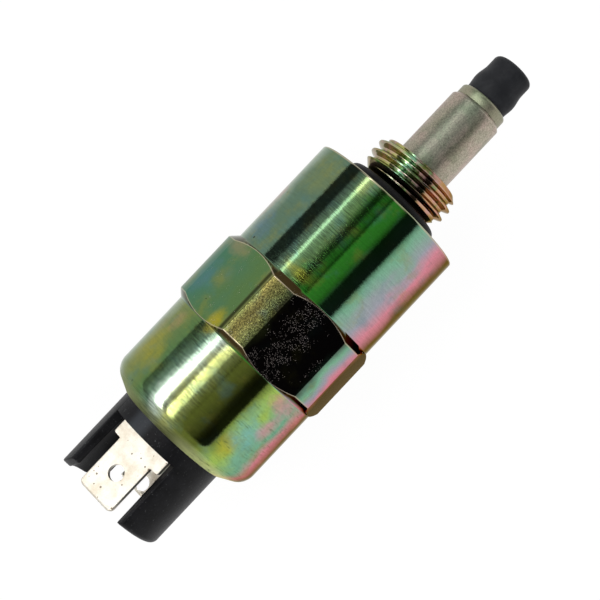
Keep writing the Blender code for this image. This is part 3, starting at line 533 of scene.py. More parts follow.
def turning_marks(tree, place, station, share, marks, turned_only, colour):
    """Lathe lines on the round parts, streak lines painted lighter and darker on the side that catches the
    light, as painted highlight and shade, and dark scratches on one side of the rear barrel."""
    lathe = banded(tree, station_lines(tree, station, 2.2, 6.0, 0.8), 0.25, 0.75, 0.93, 1.05)
    colour = mixed(tree, turned_only, colour, shaded(tree, colour, lathe))
    lines = noise(tree, moved_by(tree, place, scale=(11.0, 0.55, 0.55)), 1.0, 3, 0.6)
    # Streak lines painted lighter and darker on the side that catches the light: painted highlight and shade.
    streak_light_mask = banded(tree, away_from(tree, share, STREAK_LIGHT_SIDE), 0.045, 0.06, 0.9, 0.2)
    lit_streaks = shaded(tree, colour, banded(tree, lines, 0.32, 0.6, 0.52, 1.18))
    colour = mixed(tree, times(tree, streak_light_mask, turned_only), colour, lit_streaks)
    scratched = banded(tree, away_from(tree, share, SCRATCHED_SIDE), 0.04, 0.09, 0.7, 0.0)
    scratched = times(tree, scratched, marks["rear"])
    scratch = times(tree, banded(tree, lines, 0.6, 0.64), scratched)
    return mixed(tree, scratch, colour, tint(*DARK_SCRATCH))


def dust_dots(tree, place, share, on_hexagon):
    """Pale dust in patches, thick on a belt of the hexagon and thin elsewhere."""
    belt = banded(tree, away_from(tree, share, DUSTY_SIDE), 0.012, 0.05, 0.15, 0.0)
    patches = sum_of(tree, "ADD", noise(tree, place, 0.7, 4, 0.7), belt)
    dust = dots(tree, place, 5.4, banded(tree, patches, 0.53, 0.66, 0.0, 0.28))
    return times(tree, dust, sum_of(tree, "MULTIPLY_ADD", on_hexagon, 0.75, 0.08))


def chromate_finish():
    """Chromate film on zinc: the film's tones, turning marks with painted light on their streak lines, grain,
    a mottled corner of the hexagon and a line of painted shade on it, edges that are partly polished and
    partly painted highlight, specks and dust. It is satin at the rim and duller on specks and dust."""
    made, tree, shader = new_finish("yellow_chromate", 1.0)
    place, station, share = axis_coordinates(tree)
    marks = {mark: step(tree, "Attribute", attribute_name=mark).outputs["Fac"]
             for mark in ("hexagon", "rear", "thread", "edge", "cone", "corner")}
    turned_only = sum_of(tree, "SUBTRACT", 1.0, marks["hexagon"])
    colour = film_colour(tree, place, station, share, marks)
    colour = turning_marks(tree, place, station, share, marks, turned_only, colour)
    grain = noise(tree, place, 6.0, 4, 0.7)
    colour = shaded(tree, colour, banded(tree, grain, 0.25, 0.75, 0.9, 1.08))

    mottle = noise(tree, place, 4.6, 5, 0.7)
    in_front = banded(tree, away_from(tree, share, MOTTLED_SIDE), 0.06, 0.1, 1.0, 0.0)
    corner = times(tree, marks["corner"], in_front)
    colour = mixed(tree, corner, colour, shaded(tree, colour, banded(tree, mottle, 0.38, 0.62, 0.22, 0.9)))
    # A line of painted shade along the hexagon where the light turns at the corner.
    shade_line = banded(tree, away_from(tree, share, SHADE_LINE_SIDE), 0.001, 0.006, 0.85, 0.0)
    colour = mixed(tree, times(tree, shade_line, marks["hexagon"]), colour, tint(*SHADE_LINE_TONE))
    # Pale rounded edges: partly polish, partly painted highlight.
    colour = mixed(tree, times(tree, marks["edge"], 0.5), colour, tint(*PALE_EDGE_AND_HIGHLIGHT))
    speck = dots(tree, place, 0.62, banded(tree, noise(tree, place, 0.9), 0.5, 0.75, 0.0, 0.13))
    colour = mixed(tree, times(tree, speck, 0.75), colour, tint(*DARK_SPECK))
    dust = dust_dots(tree, place, share, marks["hexagon"])
    colour = mixed(tree, times(tree, dust, 0.75), colour, tint(*PALE_DUST))

    glance_below = mixed(tree, marks["hexagon"], tint(*GLANCE_BELOW), tint(*GLANCE_ON_HEXAGON))
    glance = mixed(tree, banded(tree, share, 0.5, 0.6), tint(*GLANCE), glance_below)
    put(tree, shader.inputs["Specular Tint"], glance)
    rim = banded(tree, station, RIM_END / MM + 0.9, RIM_CENTRE / MM - 0.9, 0.5, 0.0)
    satin = sum_of(tree, "MULTIPLY_ADD", marks["hexagon"], 0.07, 0.03)
    rough = sum_of(tree, "ADD", rim, sum_of(tree, "MULTIPLY_ADD", grain, 0.04, satin))
    rough = sum_of(tree, "MULTIPLY_ADD", sum_of(tree, "MAXIMUM", speck, dust), 0.45, rough)
    chatter = noise(tree, moved_by(tree, place, scale=(6.0, 1.0, 1.0)), 1.0, 4, 0.65)
    relief = sum_of(tree, "MULTIPLY_ADD", mottle, corner, times(tree, chatter, turned_only))
    coat(tree, shader, colour, rough, relief, strength=0.8, depth=0.014 * MM)
    return made


angles, station, radius, edge = housing_surface()
on_hexagon = (station < HEXAGON_FRONT - SMALL_BREAK) & (station > HEXAGON_REAR + SMALL_BREAK)
on_cone = on_hexagon & (radius < hexagon_radius(angles) - 1.2 * SMALL_BREAK) & (radius > BORE_RADIUS + 6 * MM)
on_corner = on_hexagon & (hexagon_radius(angles) > HEXAGON_CORNER_RADIUS - SMALL_BREAK / 2) & ~on_cone
body_housing = make_piece(
    "body_housing_skin",
    on_axis(station, radius, angles),
    grid_faces(len(station), len(angles), close_rows=True),
    chromate_finish(),
    edge=edge,
    hexagon=on_hexagon,
    rear=station < HEXAGON_REAR,
    thread=station > NECK_LENGTH - HOLD,
    cone=on_cone,
    corner=on_corner,
)
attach(body_housing, "housing")
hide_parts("body_housing")


# O-ring: nitrile rubber, moulded, stretched on to the neck where it lies against the shoulder.
RING_SECTION = 1.9 * MM
RING_STATION = 0.6 * MM
RING_RADIUS = 6.6 * MM
LOW_GLOSS = 0.12


def rubber_finish(name, colour, rough):
    """Black rubber: grey clouds of bloom, a fine grain and a soft shine that varies with it."""
    made, tree, shader = new_finish(name, 0.0)
    place, _, _ = axis_coordinates(tree)
    bloom = banded(tree, noise(tree, place, 0.7, 4, 0.6), 0.35, 0.75)
    grain = noise(tree, place, 9.0, 3, 0.7)
    pale = (value + 10 for value in colour)
    put(tree, shader.inputs["Specular IOR Level"], LOW_GLOSS)
    rough = sum_of(tree, "MULTIPLY_ADD", grain, 0.2, rough)
    shown = mixed(tree, bloom, tint(*colour), tint(*pale))
    coat(tree, shader, shown, rough, grain, strength=0.4, depth=0.01 * MM)
    return made


def round_section(station, radius, size, steps):
    """The corners of a round section, as a closed loop."""
    return arc(station, radius, size / 2, 0, 360, steps)[:-1]


seat_o_ring = turned_piece(
    "seat_o_ring_skin",
    round_section(RING_STATION, RING_RADIUS, RING_SECTION, 40),
    rubber_finish("ring_rubber", (12, 12, 13), 0.4),
    160,
    closed=True,
)
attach(seat_o_ring, "housing")
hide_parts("seat_o_ring")


# Plunger: turned from soft steel and zinc plated, slides in the guide tube. Its front end is crimped over the
# rubber tip's bead, which leaves a narrow lip with a fine line behind it.
PLUNGER_RADIUS = 4.15 * MM
PLUNGER_REAR = -16.0 * MM
PLUNGER_FULL_END = 17.8 * MM
PLUNGER_END = 19.8 * MM
LIP_RADIUS = 3.775 * MM
LIP_ROUND = 0.45 * MM
LIP_LENGTH = 0.9 * MM
LINE_DEPTH = 0.08 * MM
SPRING_POCKET_RADIUS = 2.2 * MM
SPRING_POCKET_END = -3.5 * MM
TIP_STEM_RADIUS = 3.5 * MM
TIP_STEM_LENGTH = 4.0 * MM
TIP_NECK_RADIUS = 3.3 * MM
SEAT_GAP = 0.2 * MM

lip_start = PLUNGER_FULL_END + PLUNGER_RADIUS - LIP_RADIUS
tip_pocket = TIP_STEM_RADIUS + SEAT_GAP
tip_mouth = TIP_NECK_RADIUS + SEAT_GAP / 2
tip_floor = PLUNGER_END - LIP_LENGTH - TIP_STEM_LENGTH - SEAT_GAP
plunger_profile = [
    (SPRING_POCKET_END, 0, 0),
    (SPRING_POCKET_END, SPRING_POCKET_RADIUS, SMALL_BREAK),
    (PLUNGER_REAR, SPRING_POCKET_RADIUS, SMALL_BREAK),
    (PLUNGER_REAR, PLUNGER_RADIUS, EDGE_BREAK),
    (PLUNGER_FULL_END, PLUNGER_RADIUS, 2 * SMALL_BREAK),
    (lip_start, LIP_RADIUS, SMALL_BREAK),
    (lip_start + LINE_DEPTH, LIP_RADIUS - LINE_DEPTH, 0),
    (lip_start + 2 * LINE_DEPTH, LIP_RADIUS, 0),
    (PLUNGER_END - LIP_ROUND - HOLD, LIP_RADIUS, 0),
    *arc(PLUNGER_END - LIP_ROUND, LIP_RADIUS - LIP_ROUND, LIP_ROUND, 90, 0, 8),
    (PLUNGER_END - LIP_LENGTH, tip_mouth, 0),
    (PLUNGER_END - LIP_LENGTH, tip_pocket, 0),
    (tip_floor, tip_pocket, SMALL_BREAK),
    (tip_floor, 0, 0),
]


# How the zinc's colour turns round the axis, greenish and painted darker above where the highlight falls,
# warm and painted lighter below, as painted light and shade, and its own colours
WARM_ZINC, GREEN_SHADED_ZINC, PAINTED_LIGHT_ZINC = (225, 215, 210), (180, 190, 180), (245, 235, 230)
ZINC, PINK_ZINC = (172, 173, 158), (188, 177, 168)
GREEN_CLOUD, DARKER_LIP = (122, 134, 108), (120, 128, 100)
PLUNGER_TONE_AND_LIGHT = (
    (-180, WARM_ZINC), (-46, WARM_ZINC), (-30, GREEN_SHADED_ZINC), (0, GREEN_SHADED_ZINC), (24, PAINTED_LIGHT_ZINC),
    (60, PAINTED_LIGHT_ZINC), (180, WARM_ZINC),
)


def zinc_finish():
    """Dull zinc: pale warm grey with clouds of green and pink, painted light and shade round the axis, fine
    turning lines and a darker lip.
    """
    made, tree, shader = new_finish("bright_zinc", 1.0)
    place, station, share = axis_coordinates(tree)
    clouds = banded(tree, noise(tree, place, 0.35, 4, 0.6), 0.35, 0.65)
    colour = mixed(tree, clouds, tint(*ZINC), tint(*PINK_ZINC))
    stretched = moved_by(tree, place, (13, 5, 9), (0.35, 1, 1))
    green = banded(tree, noise(tree, stretched, 0.5, 3), 0.5, 0.7, 0.0, 0.5)
    colour = mixed(tree, green, colour, tint(*GREEN_CLOUD))
    grain = noise(tree, place, 5.0, 5, 0.75)
    colour = shaded(tree, colour, banded(tree, grain, 0.28, 0.72, 0.58, 1.42))
    # Painted light and shade: darker round the highlight above, lighter below.
    colour = shaded(tree, colour, film_ramp(tree, share, PLUNGER_TONE_AND_LIGHT))
    # The lip past the fine line is darker.
    lip = banded(tree, station, lip_start / MM, (lip_start + LINE_DEPTH) / MM, 0.0, 0.55)
    colour = mixed(tree, lip, colour, tint(*DARKER_LIP))
    relief = sum_of(tree, "MULTIPLY_ADD", grain, 0.6, station_lines(tree, station, 5.0, 3.0))
    rough = sum_of(tree, "MULTIPLY_ADD", grain, 0.22, 0.3)
    coat(tree, shader, colour, rough, relief, strength=0.6, depth=0.02 * MM)
    return made


plunger = turned_piece("plunger_skin", plunger_profile, zinc_finish(), 144)
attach(plunger, "plunger_group")
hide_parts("plunger")


# Seal tip: black rubber moulded in one piece with its bead, held by the plunger's lip. It swells a little
# past the lip and ends in a flat nose with a round edge.
TIP_END = 26.0 * MM
TIP_BULGE_RADIUS = 3.475 * MM
TIP_NOSE_RADIUS = 3.18 * MM
TIP_ROUND = 0.8 * MM
TIP_SWELL_SHARE = 0.65
TIP_ROWS = 25


def seal_tip_profile():
    """The bead behind the lip, then a neck whose radius drifts to the nose's with one sine-squared swell."""
    share = np.linspace(0, 1, TIP_ROWS)
    station = PLUNGER_END + TIP_SWELL_SHARE * (TIP_END - PLUNGER_END) * share
    swell = TIP_BULGE_RADIUS - (TIP_NECK_RADIUS + TIP_NOSE_RADIUS) / 2
    radius = TIP_NECK_RADIUS + (TIP_NOSE_RADIUS - TIP_NECK_RADIUS) * share
    radius = radius + swell * np.sin(math.pi * share) ** 2
    stem_front = PLUNGER_END - LIP_LENGTH - SEAT_GAP
    stem_rear = stem_front - TIP_STEM_LENGTH + SEAT_GAP
    return [
        (stem_rear, 0, 0),
        (stem_rear, TIP_STEM_RADIUS, SMALL_BREAK),
        (stem_front, TIP_STEM_RADIUS, SMALL_BREAK),
        (stem_front, TIP_NECK_RADIUS, 0),
        *zip(station, radius, np.zeros(TIP_ROWS)),
        *arc(TIP_END - TIP_ROUND, TIP_NOSE_RADIUS - TIP_ROUND, TIP_ROUND, 90, 0, 12),
        (TIP_END, 0, 0),
    ]


tip_rubber = rubber_finish("tip_rubber", (28, 29, 32), 0.4)
seal_tip = turned_piece("seal_tip_skin", seal_tip_profile(), tip_rubber, 128)
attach(seal_tip, "plunger_group")
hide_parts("seal_tip")


# Connector base: glass-filled black moulding clamped under the rolled rim. A collar stands out of the rim,
# and two curved wings on it guard the blades, with open windows between them.
CONNECTOR_RADIUS = 8.45 * MM
CONNECTOR_WALL = 1.45 * MM
COLLAR_FACE = -45.45 * MM
WING_END = -55.95 * MM
WING_END_ROUND = 0.9 * MM
UPPER_END_ROUND = 0.25 * MM
UPPER_CORNER_DROP = 1.7 * MM
UPPER_CORNER_REACH = math.radians(26)
FLOOR_SINK = 0.3 * MM
WINDOW_HALF_ANGLE = math.radians(42.7)
WING_HALF_ANGLE = FULL_TURN / 4 - WINDOW_HALF_ANGLE
BLADE_FACING = math.radians(51.5)
CONNECTOR_FRONT = -39.52 * MM
RECESS_FLOOR = -40.92 * MM
RECESS_RADIUS = 8.25 * MM
WING_CORNER = 0.3 * MM
COLLAR_ROUND = 0.15 * MM
WINDOW_COLUMNS, WING_COLUMNS = 20, 44
SHEEN_SIDE = 0.42
SHARP_WING_EDGE = math.radians(50)


def connector_columns():
    """Angles round the connector: even steps on the wings and across the windows, and at each wing's side a
    step down from full height to none within a hair's breadth. Gives the angles, the height share and how
    far the wing's side edges are eased."""
    half_turn = FULL_TURN / 2
    ease = WING_CORNER / CONNECTOR_RADIUS
    side = np.array([-1e-5, 0, 0.3 * ease, ease])
    rise, eased = np.array([0, 1, 1, 1.0]), np.array([1, 1, 0.3, 0])
    first = WINDOW_HALF_ANGLE
    last = half_turn - WINDOW_HALF_ANGLE
    middle = np.linspace(first + 2 * ease, last - 2 * ease, WING_COLUMNS)
    window = np.linspace(-WINDOW_HALF_ANGLE + 0.02, WINDOW_HALF_ANGLE - 0.02, WINDOW_COLUMNS)
    angle = np.concatenate([window, first + side, middle, last - side[::-1]])
    height = np.concatenate([np.zeros(WINDOW_COLUMNS), rise, np.ones(WING_COLUMNS), rise[::-1]])
    easing = np.concatenate([np.ones(WINDOW_COLUMNS), eased, np.zeros(WING_COLUMNS), eased[::-1]])
    return (np.concatenate([angle, angle + half_turn]) + BLADE_FACING, np.tile(height, 2), np.tile(easing, 2))


def connector_surface():
    """The turned moulding with its wings as one grid: rows past the collar's face have a share of the wing's
    height, which the column turns on or off, and an ease that thins the wing at its side edges."""
    angles, height, easing = connector_columns()
    flange = RIM_ROUND - SKIRT_WALL - SEAT_GAP
    cone_end = RIM_END + (SKIRT_WALL + SEAT_GAP) / math.sin(RIM_SLOPE) - SEAT_GAP / math.tan(RIM_SLOPE)
    base = softened([
        (RECESS_FLOOR, 0, 0),
        (RECESS_FLOOR, RECESS_RADIUS, SMALL_BREAK),
        (CONNECTOR_FRONT, RECESS_RADIUS, SMALL_BREAK),
        (CONNECTOR_FRONT, RIM_BEND_RADIUS + flange, 0),
        *arc(RIM_CENTRE, RIM_BEND_RADIUS, flange, 90, 90 + math.degrees(RIM_SLOPE), 10),
        (cone_end, CONNECTOR_RADIUS, SMALL_BREAK),
        (COLLAR_FACE, CONNECTOR_RADIUS, COLLAR_ROUND),
    ])
    inner = CONNECTOR_RADIUS - CONNECTOR_WALL
    length = COLLAR_FACE - WING_END
    outer_round = arc(0, 0, 1, 90, 0, 8)
    inner_round = arc(length - WING_CORNER, inner + WING_CORNER, WING_CORNER, 0, -90, 4)
    # Rows of the wing: height over the collar's face, radius, which way the ease moves it, and how many end
    # rounds the height and radius stand out of the end round's centre
    rows = [(COLLAR_ROUND + HOLD, CONNECTOR_RADIUS, -1, 0, 0), (0.5 * length, CONNECTOR_RADIUS, -1, 0, 0)]
    rows += [(length, CONNECTOR_RADIUS, -1, along - 1, out - 1) for along, out, _ in outer_round]
    rows += [(rise, radius, 1, 0, 0) for rise, radius, _ in inner_round]
    rows += [(0.5 * length, inner, 1, 0, 0), (SMALL_BREAK, inner, 1, 0, 0)]
    rise, radius, inward, along, out = np.array(rows).T[..., None]
    upper = np.arange(len(angles)) >= len(angles) // 2
    end_round = np.where(upper, UPPER_END_ROUND, WING_END_ROUND)
    rise, radius = rise + along * end_round, radius + out * end_round
    from_side = WING_HALF_ANGLE - np.abs(angles - BLADE_FACING - 0.75 * FULL_TURN)
    short = np.clip(1 - from_side / UPPER_CORNER_REACH, 0, 1) ** 1.5 * upper * UPPER_CORNER_DROP / length
    height = height * (1 - short)
    wing_station = COLLAR_FACE - height * rise
    wing_radius = radius + inward * easing * height * WING_CORNER * 0.8
    floor = softened([
        (COLLAR_FACE, inner, 0),
        (COLLAR_FACE + FLOOR_SINK, inner, SMALL_BREAK),
        (COLLAR_FACE + FLOOR_SINK, 0, 0),
    ])
    base, floor = carried(base, len(angles)), carried(floor, len(angles))
    station = np.concatenate([base[0], wing_station, floor[0]])
    radius = np.concatenate([base[1], wing_radius, floor[1]])
    return angles, station, radius


def moulding_finish():
    """Black glass-filled nylon: faint grey flow clouds, a pale strip of painted highlight, a fine
    spark-eroded grain and scattered pale dust."""
    made, tree, shader = new_finish("black_nylon", 0.0)
    place, _, share = axis_coordinates(tree)
    flow = banded(tree, noise(tree, place, 0.4, 5, 0.65), 0.3, 0.75)
    grain = noise(tree, place, 5.0, 5, 0.8)
    colour = mixed(tree, flow, tint(7, 7, 9), tint(22, 22, 25))
    # A pale strip along the collar where the light catches it: painted highlight.
    painted_sheen = banded(tree, away_from(tree, share, SHEEN_SIDE), 0.01, 0.04, 0.5, 0.0)
    colour = mixed(tree, painted_sheen, colour, tint(70, 74, 80))
    dust = banded(tree, noise(tree, place, 3.2, 4, 0.7), 0.62, 0.7, 0.0, 0.5)
    colour = mixed(tree, dust, colour, tint(92, 94, 94))
    put(tree, shader.inputs["Specular IOR Level"], LOW_GLOSS)
    rough = sum_of(tree, "MULTIPLY_ADD", grain, 0.28, 0.28)
    coat(tree, shader, colour, rough, grain, strength=0.5, depth=0.03 * MM)
    return made


angles, station, radius = connector_surface()
connector_base = make_piece(
    "connector_base_skin",
    on_axis(station, radius, angles),
    grid_faces(len(station), len(angles)),
    moulding_finish(),
)
connector_base.data.set_sharp_from_angle(angle=SHARP_WING_EDGE)
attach(connector_base, "housing")
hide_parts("connector_base")


# Spade terminals: stamped from 0.8 mm brass strip and tinned. Each stands on a wide foot on the collar's
# floor, has a locking hole, and its tab goes through the moulding and is bent in under it.
BLADE_WIDTH = 6.3 * MM
BLADE_THICKNESS = 0.8 * MM
BLADE_SPACING = 9.8 * MM
BLADE_TIP_ROUND = 0.75 * MM
FOOT_WIDTH = 8.9 * MM
FOOT_HEIGHT = 2.4 * MM
FOOT_CORNER = 0.3 * MM
TAB_WIDTH = 5.0 * MM
BLADE_HOLE_RADIUS = 1.2 * MM
BLADE_HOLE_HEIGHT = 6.1 * MM
REAR_BLADE_SHORTER = 3.0 * MM
CLINCH_STATION = -40.32 * MM
CLINCH_LENGTH = 2.1 * MM
CLINCH_BEND = 0.5 * MM
TIP_BEVEL = 0.3 * MM
BLADE_EDGE_EASE = 0.3
SHARP_OVER = math.radians(35)


def blade_rows(tip_height):
    """Heights over the collar's face and half widths up one side of the strip, from the tab's end to the
    tip: straight sides, and quarter circles at the foot's corner and the tip."""
    bend = COLLAR_FACE - CLINCH_STATION
    corner = np.radians(np.linspace(0, 90, 6))
    tip_turn = np.radians(np.linspace(0, 90, 10))
    foot_height = FOOT_HEIGHT - FOOT_CORNER * (1 - np.sin(corner))
    foot_half = FOOT_WIDTH / 2 - FOOT_CORNER * (1 - np.cos(corner))
    hole = BLADE_HOLE_HEIGHT - BLADE_HOLE_RADIUS * np.cos(np.linspace(0, math.pi, 25))
    tab_bent = bend - np.linspace(CLINCH_LENGTH, -CLINCH_BEND, 12)
    end_height = tip_height - BLADE_TIP_ROUND * (1 - np.sin(tip_turn))
    end_half = BLADE_WIDTH / 2 - BLADE_TIP_ROUND * (1 - np.cos(tip_turn))
    return np.array([
        *((height, TAB_WIDTH / 2) for height in tab_bent),
        (SEAT_GAP - HOLD, TAB_WIDTH / 2),
        (SEAT_GAP, FOOT_WIDTH / 2),
        *zip(foot_height, foot_half),
        (FOOT_HEIGHT + HOLD, BLADE_WIDTH / 2 + 2 * HOLD),
        (FOOT_HEIGHT + 3 * HOLD, BLADE_WIDTH / 2),
        *((height, BLADE_WIDTH / 2) for height in hole),
        (tip_height - BLADE_TIP_ROUND - HOLD, BLADE_WIDTH / 2),
        *zip(end_height, end_half),
    ])


def blade_surface(tip_height):
    """One half of the blade, as a section carried up the strip. The section runs from the middle, or from the
    hole's edge, over the outer face, round the edge and back along the inner face. Past the bend's centre
    the tab turns inwards on a quarter circle. Gives heights, places across and out, and the rows with a
    hole."""
    height, half = blade_rows(tip_height).T
    height, half = np.pad(height, 1, "edge"), np.pad(half, 1, "edge")
    thick = np.interp(height, (tip_height - TIP_BEVEL, tip_height), (1.0, 0.6))
    thick[[0, -1]] = 0
    hole = np.sqrt(np.maximum(BLADE_HOLE_RADIUS**2 - (height - BLADE_HOLE_HEIGHT) ** 2, 0))
    share, turn = np.linspace(0, 1, 6), np.radians(np.linspace(18, 90, 5))
    along = np.concatenate([share, np.ones(10), share[::-1]])
    round_out = np.concatenate([np.zeros(6), np.sin(turn), np.sin(turn)[::-1], np.zeros(6)])
    level = 1 - BLADE_EDGE_EASE * (1 - np.cos(turn))
    face = np.concatenate([np.ones(6), level, -level[::-1], -np.ones(6)])
    ease = BLADE_EDGE_EASE * BLADE_THICKNESS / 2
    across = hole[:, None] + (half - ease - hole)[:, None] * along + ease * round_out
    out = (thick * BLADE_THICKNESS / 2)[:, None] * face
    bend_centre = COLLAR_FACE - CLINCH_STATION + CLINCH_BEND
    past = np.maximum(bend_centre - height, 0)[:, None]
    angle = np.minimum(past / CLINCH_BEND, FULL_TURN / 4)
    straight = np.maximum(past - CLINCH_BEND * FULL_TURN / 4, 0)
    rise = np.maximum(height, bend_centre)[:, None] - (CLINCH_BEND + out) * np.sin(angle)
    level = (CLINCH_BEND + out) * np.cos(angle) - CLINCH_BEND - straight
    return np.stack([rise, across, level], axis=-1), hole > HOLD


def blade_grid(tip_height):
    """Both halves of a blade: the half section and its mirror, with the hole's wall closing the rows it
    cuts."""
    half, holed = blade_surface(tip_height)
    rows, columns = half.shape[:2]
    faces = grid_faces(rows, columns).reshape(-1, columns, 4)
    keep = np.ones(faces.shape[:2], bool)
    keep[:, -1] = holed[:-1] | holed[1:]
    faces = faces[keep]
    mirrored = half * (1, -1, 1)
    points = np.concatenate([half.reshape(-1, 3), mirrored.reshape(-1, 3)])
    return points, np.concatenate([faces, faces[:, ::-1] + rows * columns])


def tin_finish():
    """Matte tin on brass: warm white with faint yellow clouds, fine rolling lines and small dark pits."""
    made, tree, shader = new_finish("matte_tin", 1.0)
    place, _, _ = axis_coordinates(tree)
    clouds = banded(tree, noise(tree, place, 0.5, 4, 0.6), 0.35, 0.7)
    colour = mixed(tree, clouds, tint(208, 204, 194), tint(190, 181, 164))
    grain = noise(tree, place, 8.0, 4, 0.7)
    colour = shaded(tree, colour, banded(tree, grain, 0.25, 0.75, 0.82, 1.08))
    pit = dots(tree, place, 1.6, banded(tree, noise(tree, place, 0.8), 0.4, 0.7, 0.0, 0.26))
    colour = mixed(tree, times(tree, pit, 0.85), colour, tint(84, 70, 54))
    rolled = moved_by(tree, place, scale=(0.08, 1, 1))
    relief = sum_of(tree, "MULTIPLY_ADD", noise(tree, rolled, 6.0, 3), 0.8, grain)
    rough = sum_of(tree, "MULTIPLY_ADD", grain, 0.2, 0.36)
    coat(tree, shader, colour, rough, relief, strength=0.5, depth=0.012 * MM)
    return made


tin = tin_finish()
blade_length = COLLAR_FACE - WING_END
blades = (("front", 0, blade_length), ("rear", FULL_TURN / 2, blade_length - REAR_BLADE_SHORTER))
for side, turn, tip_height in blades:
    points, faces = blade_grid(tip_height)
    facing = np.array((0, math.cos(BLADE_FACING + turn), math.sin(BLADE_FACING + turn)))
    across = np.cross(facing, (1, 0, 0))
    foot = np.array((SHOULDER_X + COLLAR_FACE, 0, AXIS_Z)) + facing * BLADE_SPACING / 2
    placed = foot + points @ np.stack([(-1, 0, 0), across, facing])
    terminal = make_piece(f"terminal_{side}_skin", placed, faces, tin)
    terminal.data.set_sharp_from_angle(angle=SHARP_OVER)
    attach(terminal, "housing")
    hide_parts(f"terminal_{side}")


# Inner pieces, closed in by the body: the CAD solids with finishes of their own. The guide tube is drawn
# brass, the shim brass foil, the core and the flux washer bare turned steel, the seals and gasket rubber.
def metal_finish(name, first, second, rough, line_scale):
    """Bare turned or drawn metal: two close tones in clouds, and fine lines that follow the station."""
    made, tree, shader = new_finish(name, 1.0)
    place, station, _ = axis_coordinates(tree)
    clouds = banded(tree, noise(tree, place, 0.5, 4, 0.6), 0.35, 0.65)
    lines = station_lines(tree, station, line_scale, 4.0)
    rough = sum_of(tree, "MULTIPLY_ADD", lines, 0.2, rough)
    colour = mixed(tree, clouds, tint(*first), tint(*second))
    coat(tree, shader, colour, rough, lines, strength=0.5, depth=0.012 * MM)
    return made


def dull_finish(name, first, second, rough, scale, stretch=(1, 1, 1)):
    """A plain moulded, pressed or wound material: two close tones in grain that may be stretched one way."""
    made, tree, shader = new_finish(name, 0.0)
    place, _, _ = axis_coordinates(tree)
    grain = noise(tree, moved_by(tree, place, scale=stretch), scale, 5, 0.7)
    rough = sum_of(tree, "MULTIPLY_ADD", grain, 0.2, rough)
    colour = mixed(tree, banded(tree, grain, 0.3, 0.7), tint(*first), tint(*second))
    coat(tree, shader, colour, rough, grain, strength=0.5, depth=0.02 * MM)
    return made


def dress(finish, *nodes):
    """Gives CAD pieces that stay as they are a finish."""
    for name in nodes:
        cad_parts[name].material_slots[0].material = finish


brass = metal_finish("drawn_brass", (206, 176, 106), (190, 158, 92), 0.24, 4.0)
core_steel = metal_finish("turned_core_steel", (166, 164, 160), (142, 142, 140), 0.28, 5.0)
seal_rubber = rubber_finish("tube_seal_rubber", (24, 24, 26), 0.45)
dress(brass, "guide_tube", "anti_stick_shim")
dress(core_steel, "fixed_core", "flux_washer")
dress(seal_rubber, "front_tube_seal", "rear_tube_seal", "connector_gasket")


# Return spring: a coil of hard-drawn steel wire with closed ends, between the fixed core and the plunger's
# pocket.
SPRING_WIRE_RADIUS = 0.3 * MM
SPRING_COIL_RADIUS = 1.65 * MM
SPRING_TURNS = 9
SPRING_CLOSED_PITCH = 0.78 * MM
SPRING_REAR = -23.1 * MM
SPRING_FRONT = -3.7 * MM
ROWS_A_TURN, WIRE_COLUMNS = 24, 12


def spring_surface():
    """A round wire on a helix: the angle grows with the turns, the station by a small pitch in the first and
    the last turn and by an even one between them. A row of no size closes each end."""
    turns = np.linspace(0, SPRING_TURNS, SPRING_TURNS * ROWS_A_TURN + 1)
    turns = np.concatenate([turns[:1], turns, turns[-1:]])[:, None]
    size = np.full_like(turns, SPRING_WIRE_RADIUS)
    size[[0, -1]] = 0
    length = SPRING_FRONT - SPRING_REAR - 2 * SPRING_WIRE_RADIUS
    closed = np.minimum(turns, 1) + np.maximum(turns - SPRING_TURNS + 1, 0)
    opened = np.clip(turns - 1, 0, SPRING_TURNS - 2) / (SPRING_TURNS - 2)
    station = SPRING_REAR + SPRING_WIRE_RADIUS + SPRING_CLOSED_PITCH * closed
    station = station + (length - 2 * SPRING_CLOSED_PITCH) * opened
    section = np.arange(WIRE_COLUMNS) * FULL_TURN / WIRE_COLUMNS
    radius = SPRING_COIL_RADIUS + size * np.cos(section)
    across, up = radius * np.cos(FULL_TURN * turns), radius * np.sin(FULL_TURN * turns)
    points = np.stack([SHOULDER_X + station + size * np.sin(section), across, AXIS_Z + up], axis=-1)
    return points, grid_faces(len(turns), len(section))


spring_wire = metal_finish("spring_wire", (150, 148, 146), (172, 168, 162), 0.25, 2.0)
return_spring = make_piece("return_spring_skin", *spring_surface(), spring_wire)
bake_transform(return_spring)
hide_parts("return_spring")


# Coil: enamelled copper wire wound on a moulded bobbin, taped over, with its two ends led to the terminals
# through an insulating disc of pressed fibre board.
WIRE_PITCH = 0.8 * MM


def winding_finish():
    """Enamelled wire: bright copper turns side by side, with painted shade in the grooves between them."""
    made, tree, shader = new_finish("enamelled_wire", 1.0)
    place, station, _ = axis_coordinates(tree)
    wave = sum_of(tree, "SINE", times(tree, station, FULL_TURN * MM / WIRE_PITCH))
    groove = sum_of(tree, "ABSOLUTE", wave)
    clouds = noise(tree, place, 0.6, 3)
    copper = mixed(tree, clouds, tint(196, 112, 66), tint(214, 132, 82))
    # Painted shade in the grooves between the turns.
    colour = mixed(tree, banded(tree, groove, 0.0, 0.5), tint(96, 44, 24), copper)
    rough = sum_of(tree, "MULTIPLY_ADD", clouds, 0.2, 0.25)
    coat(tree, shader, colour, rough, groove, strength=0.8, depth=0.08 * MM)
    return made


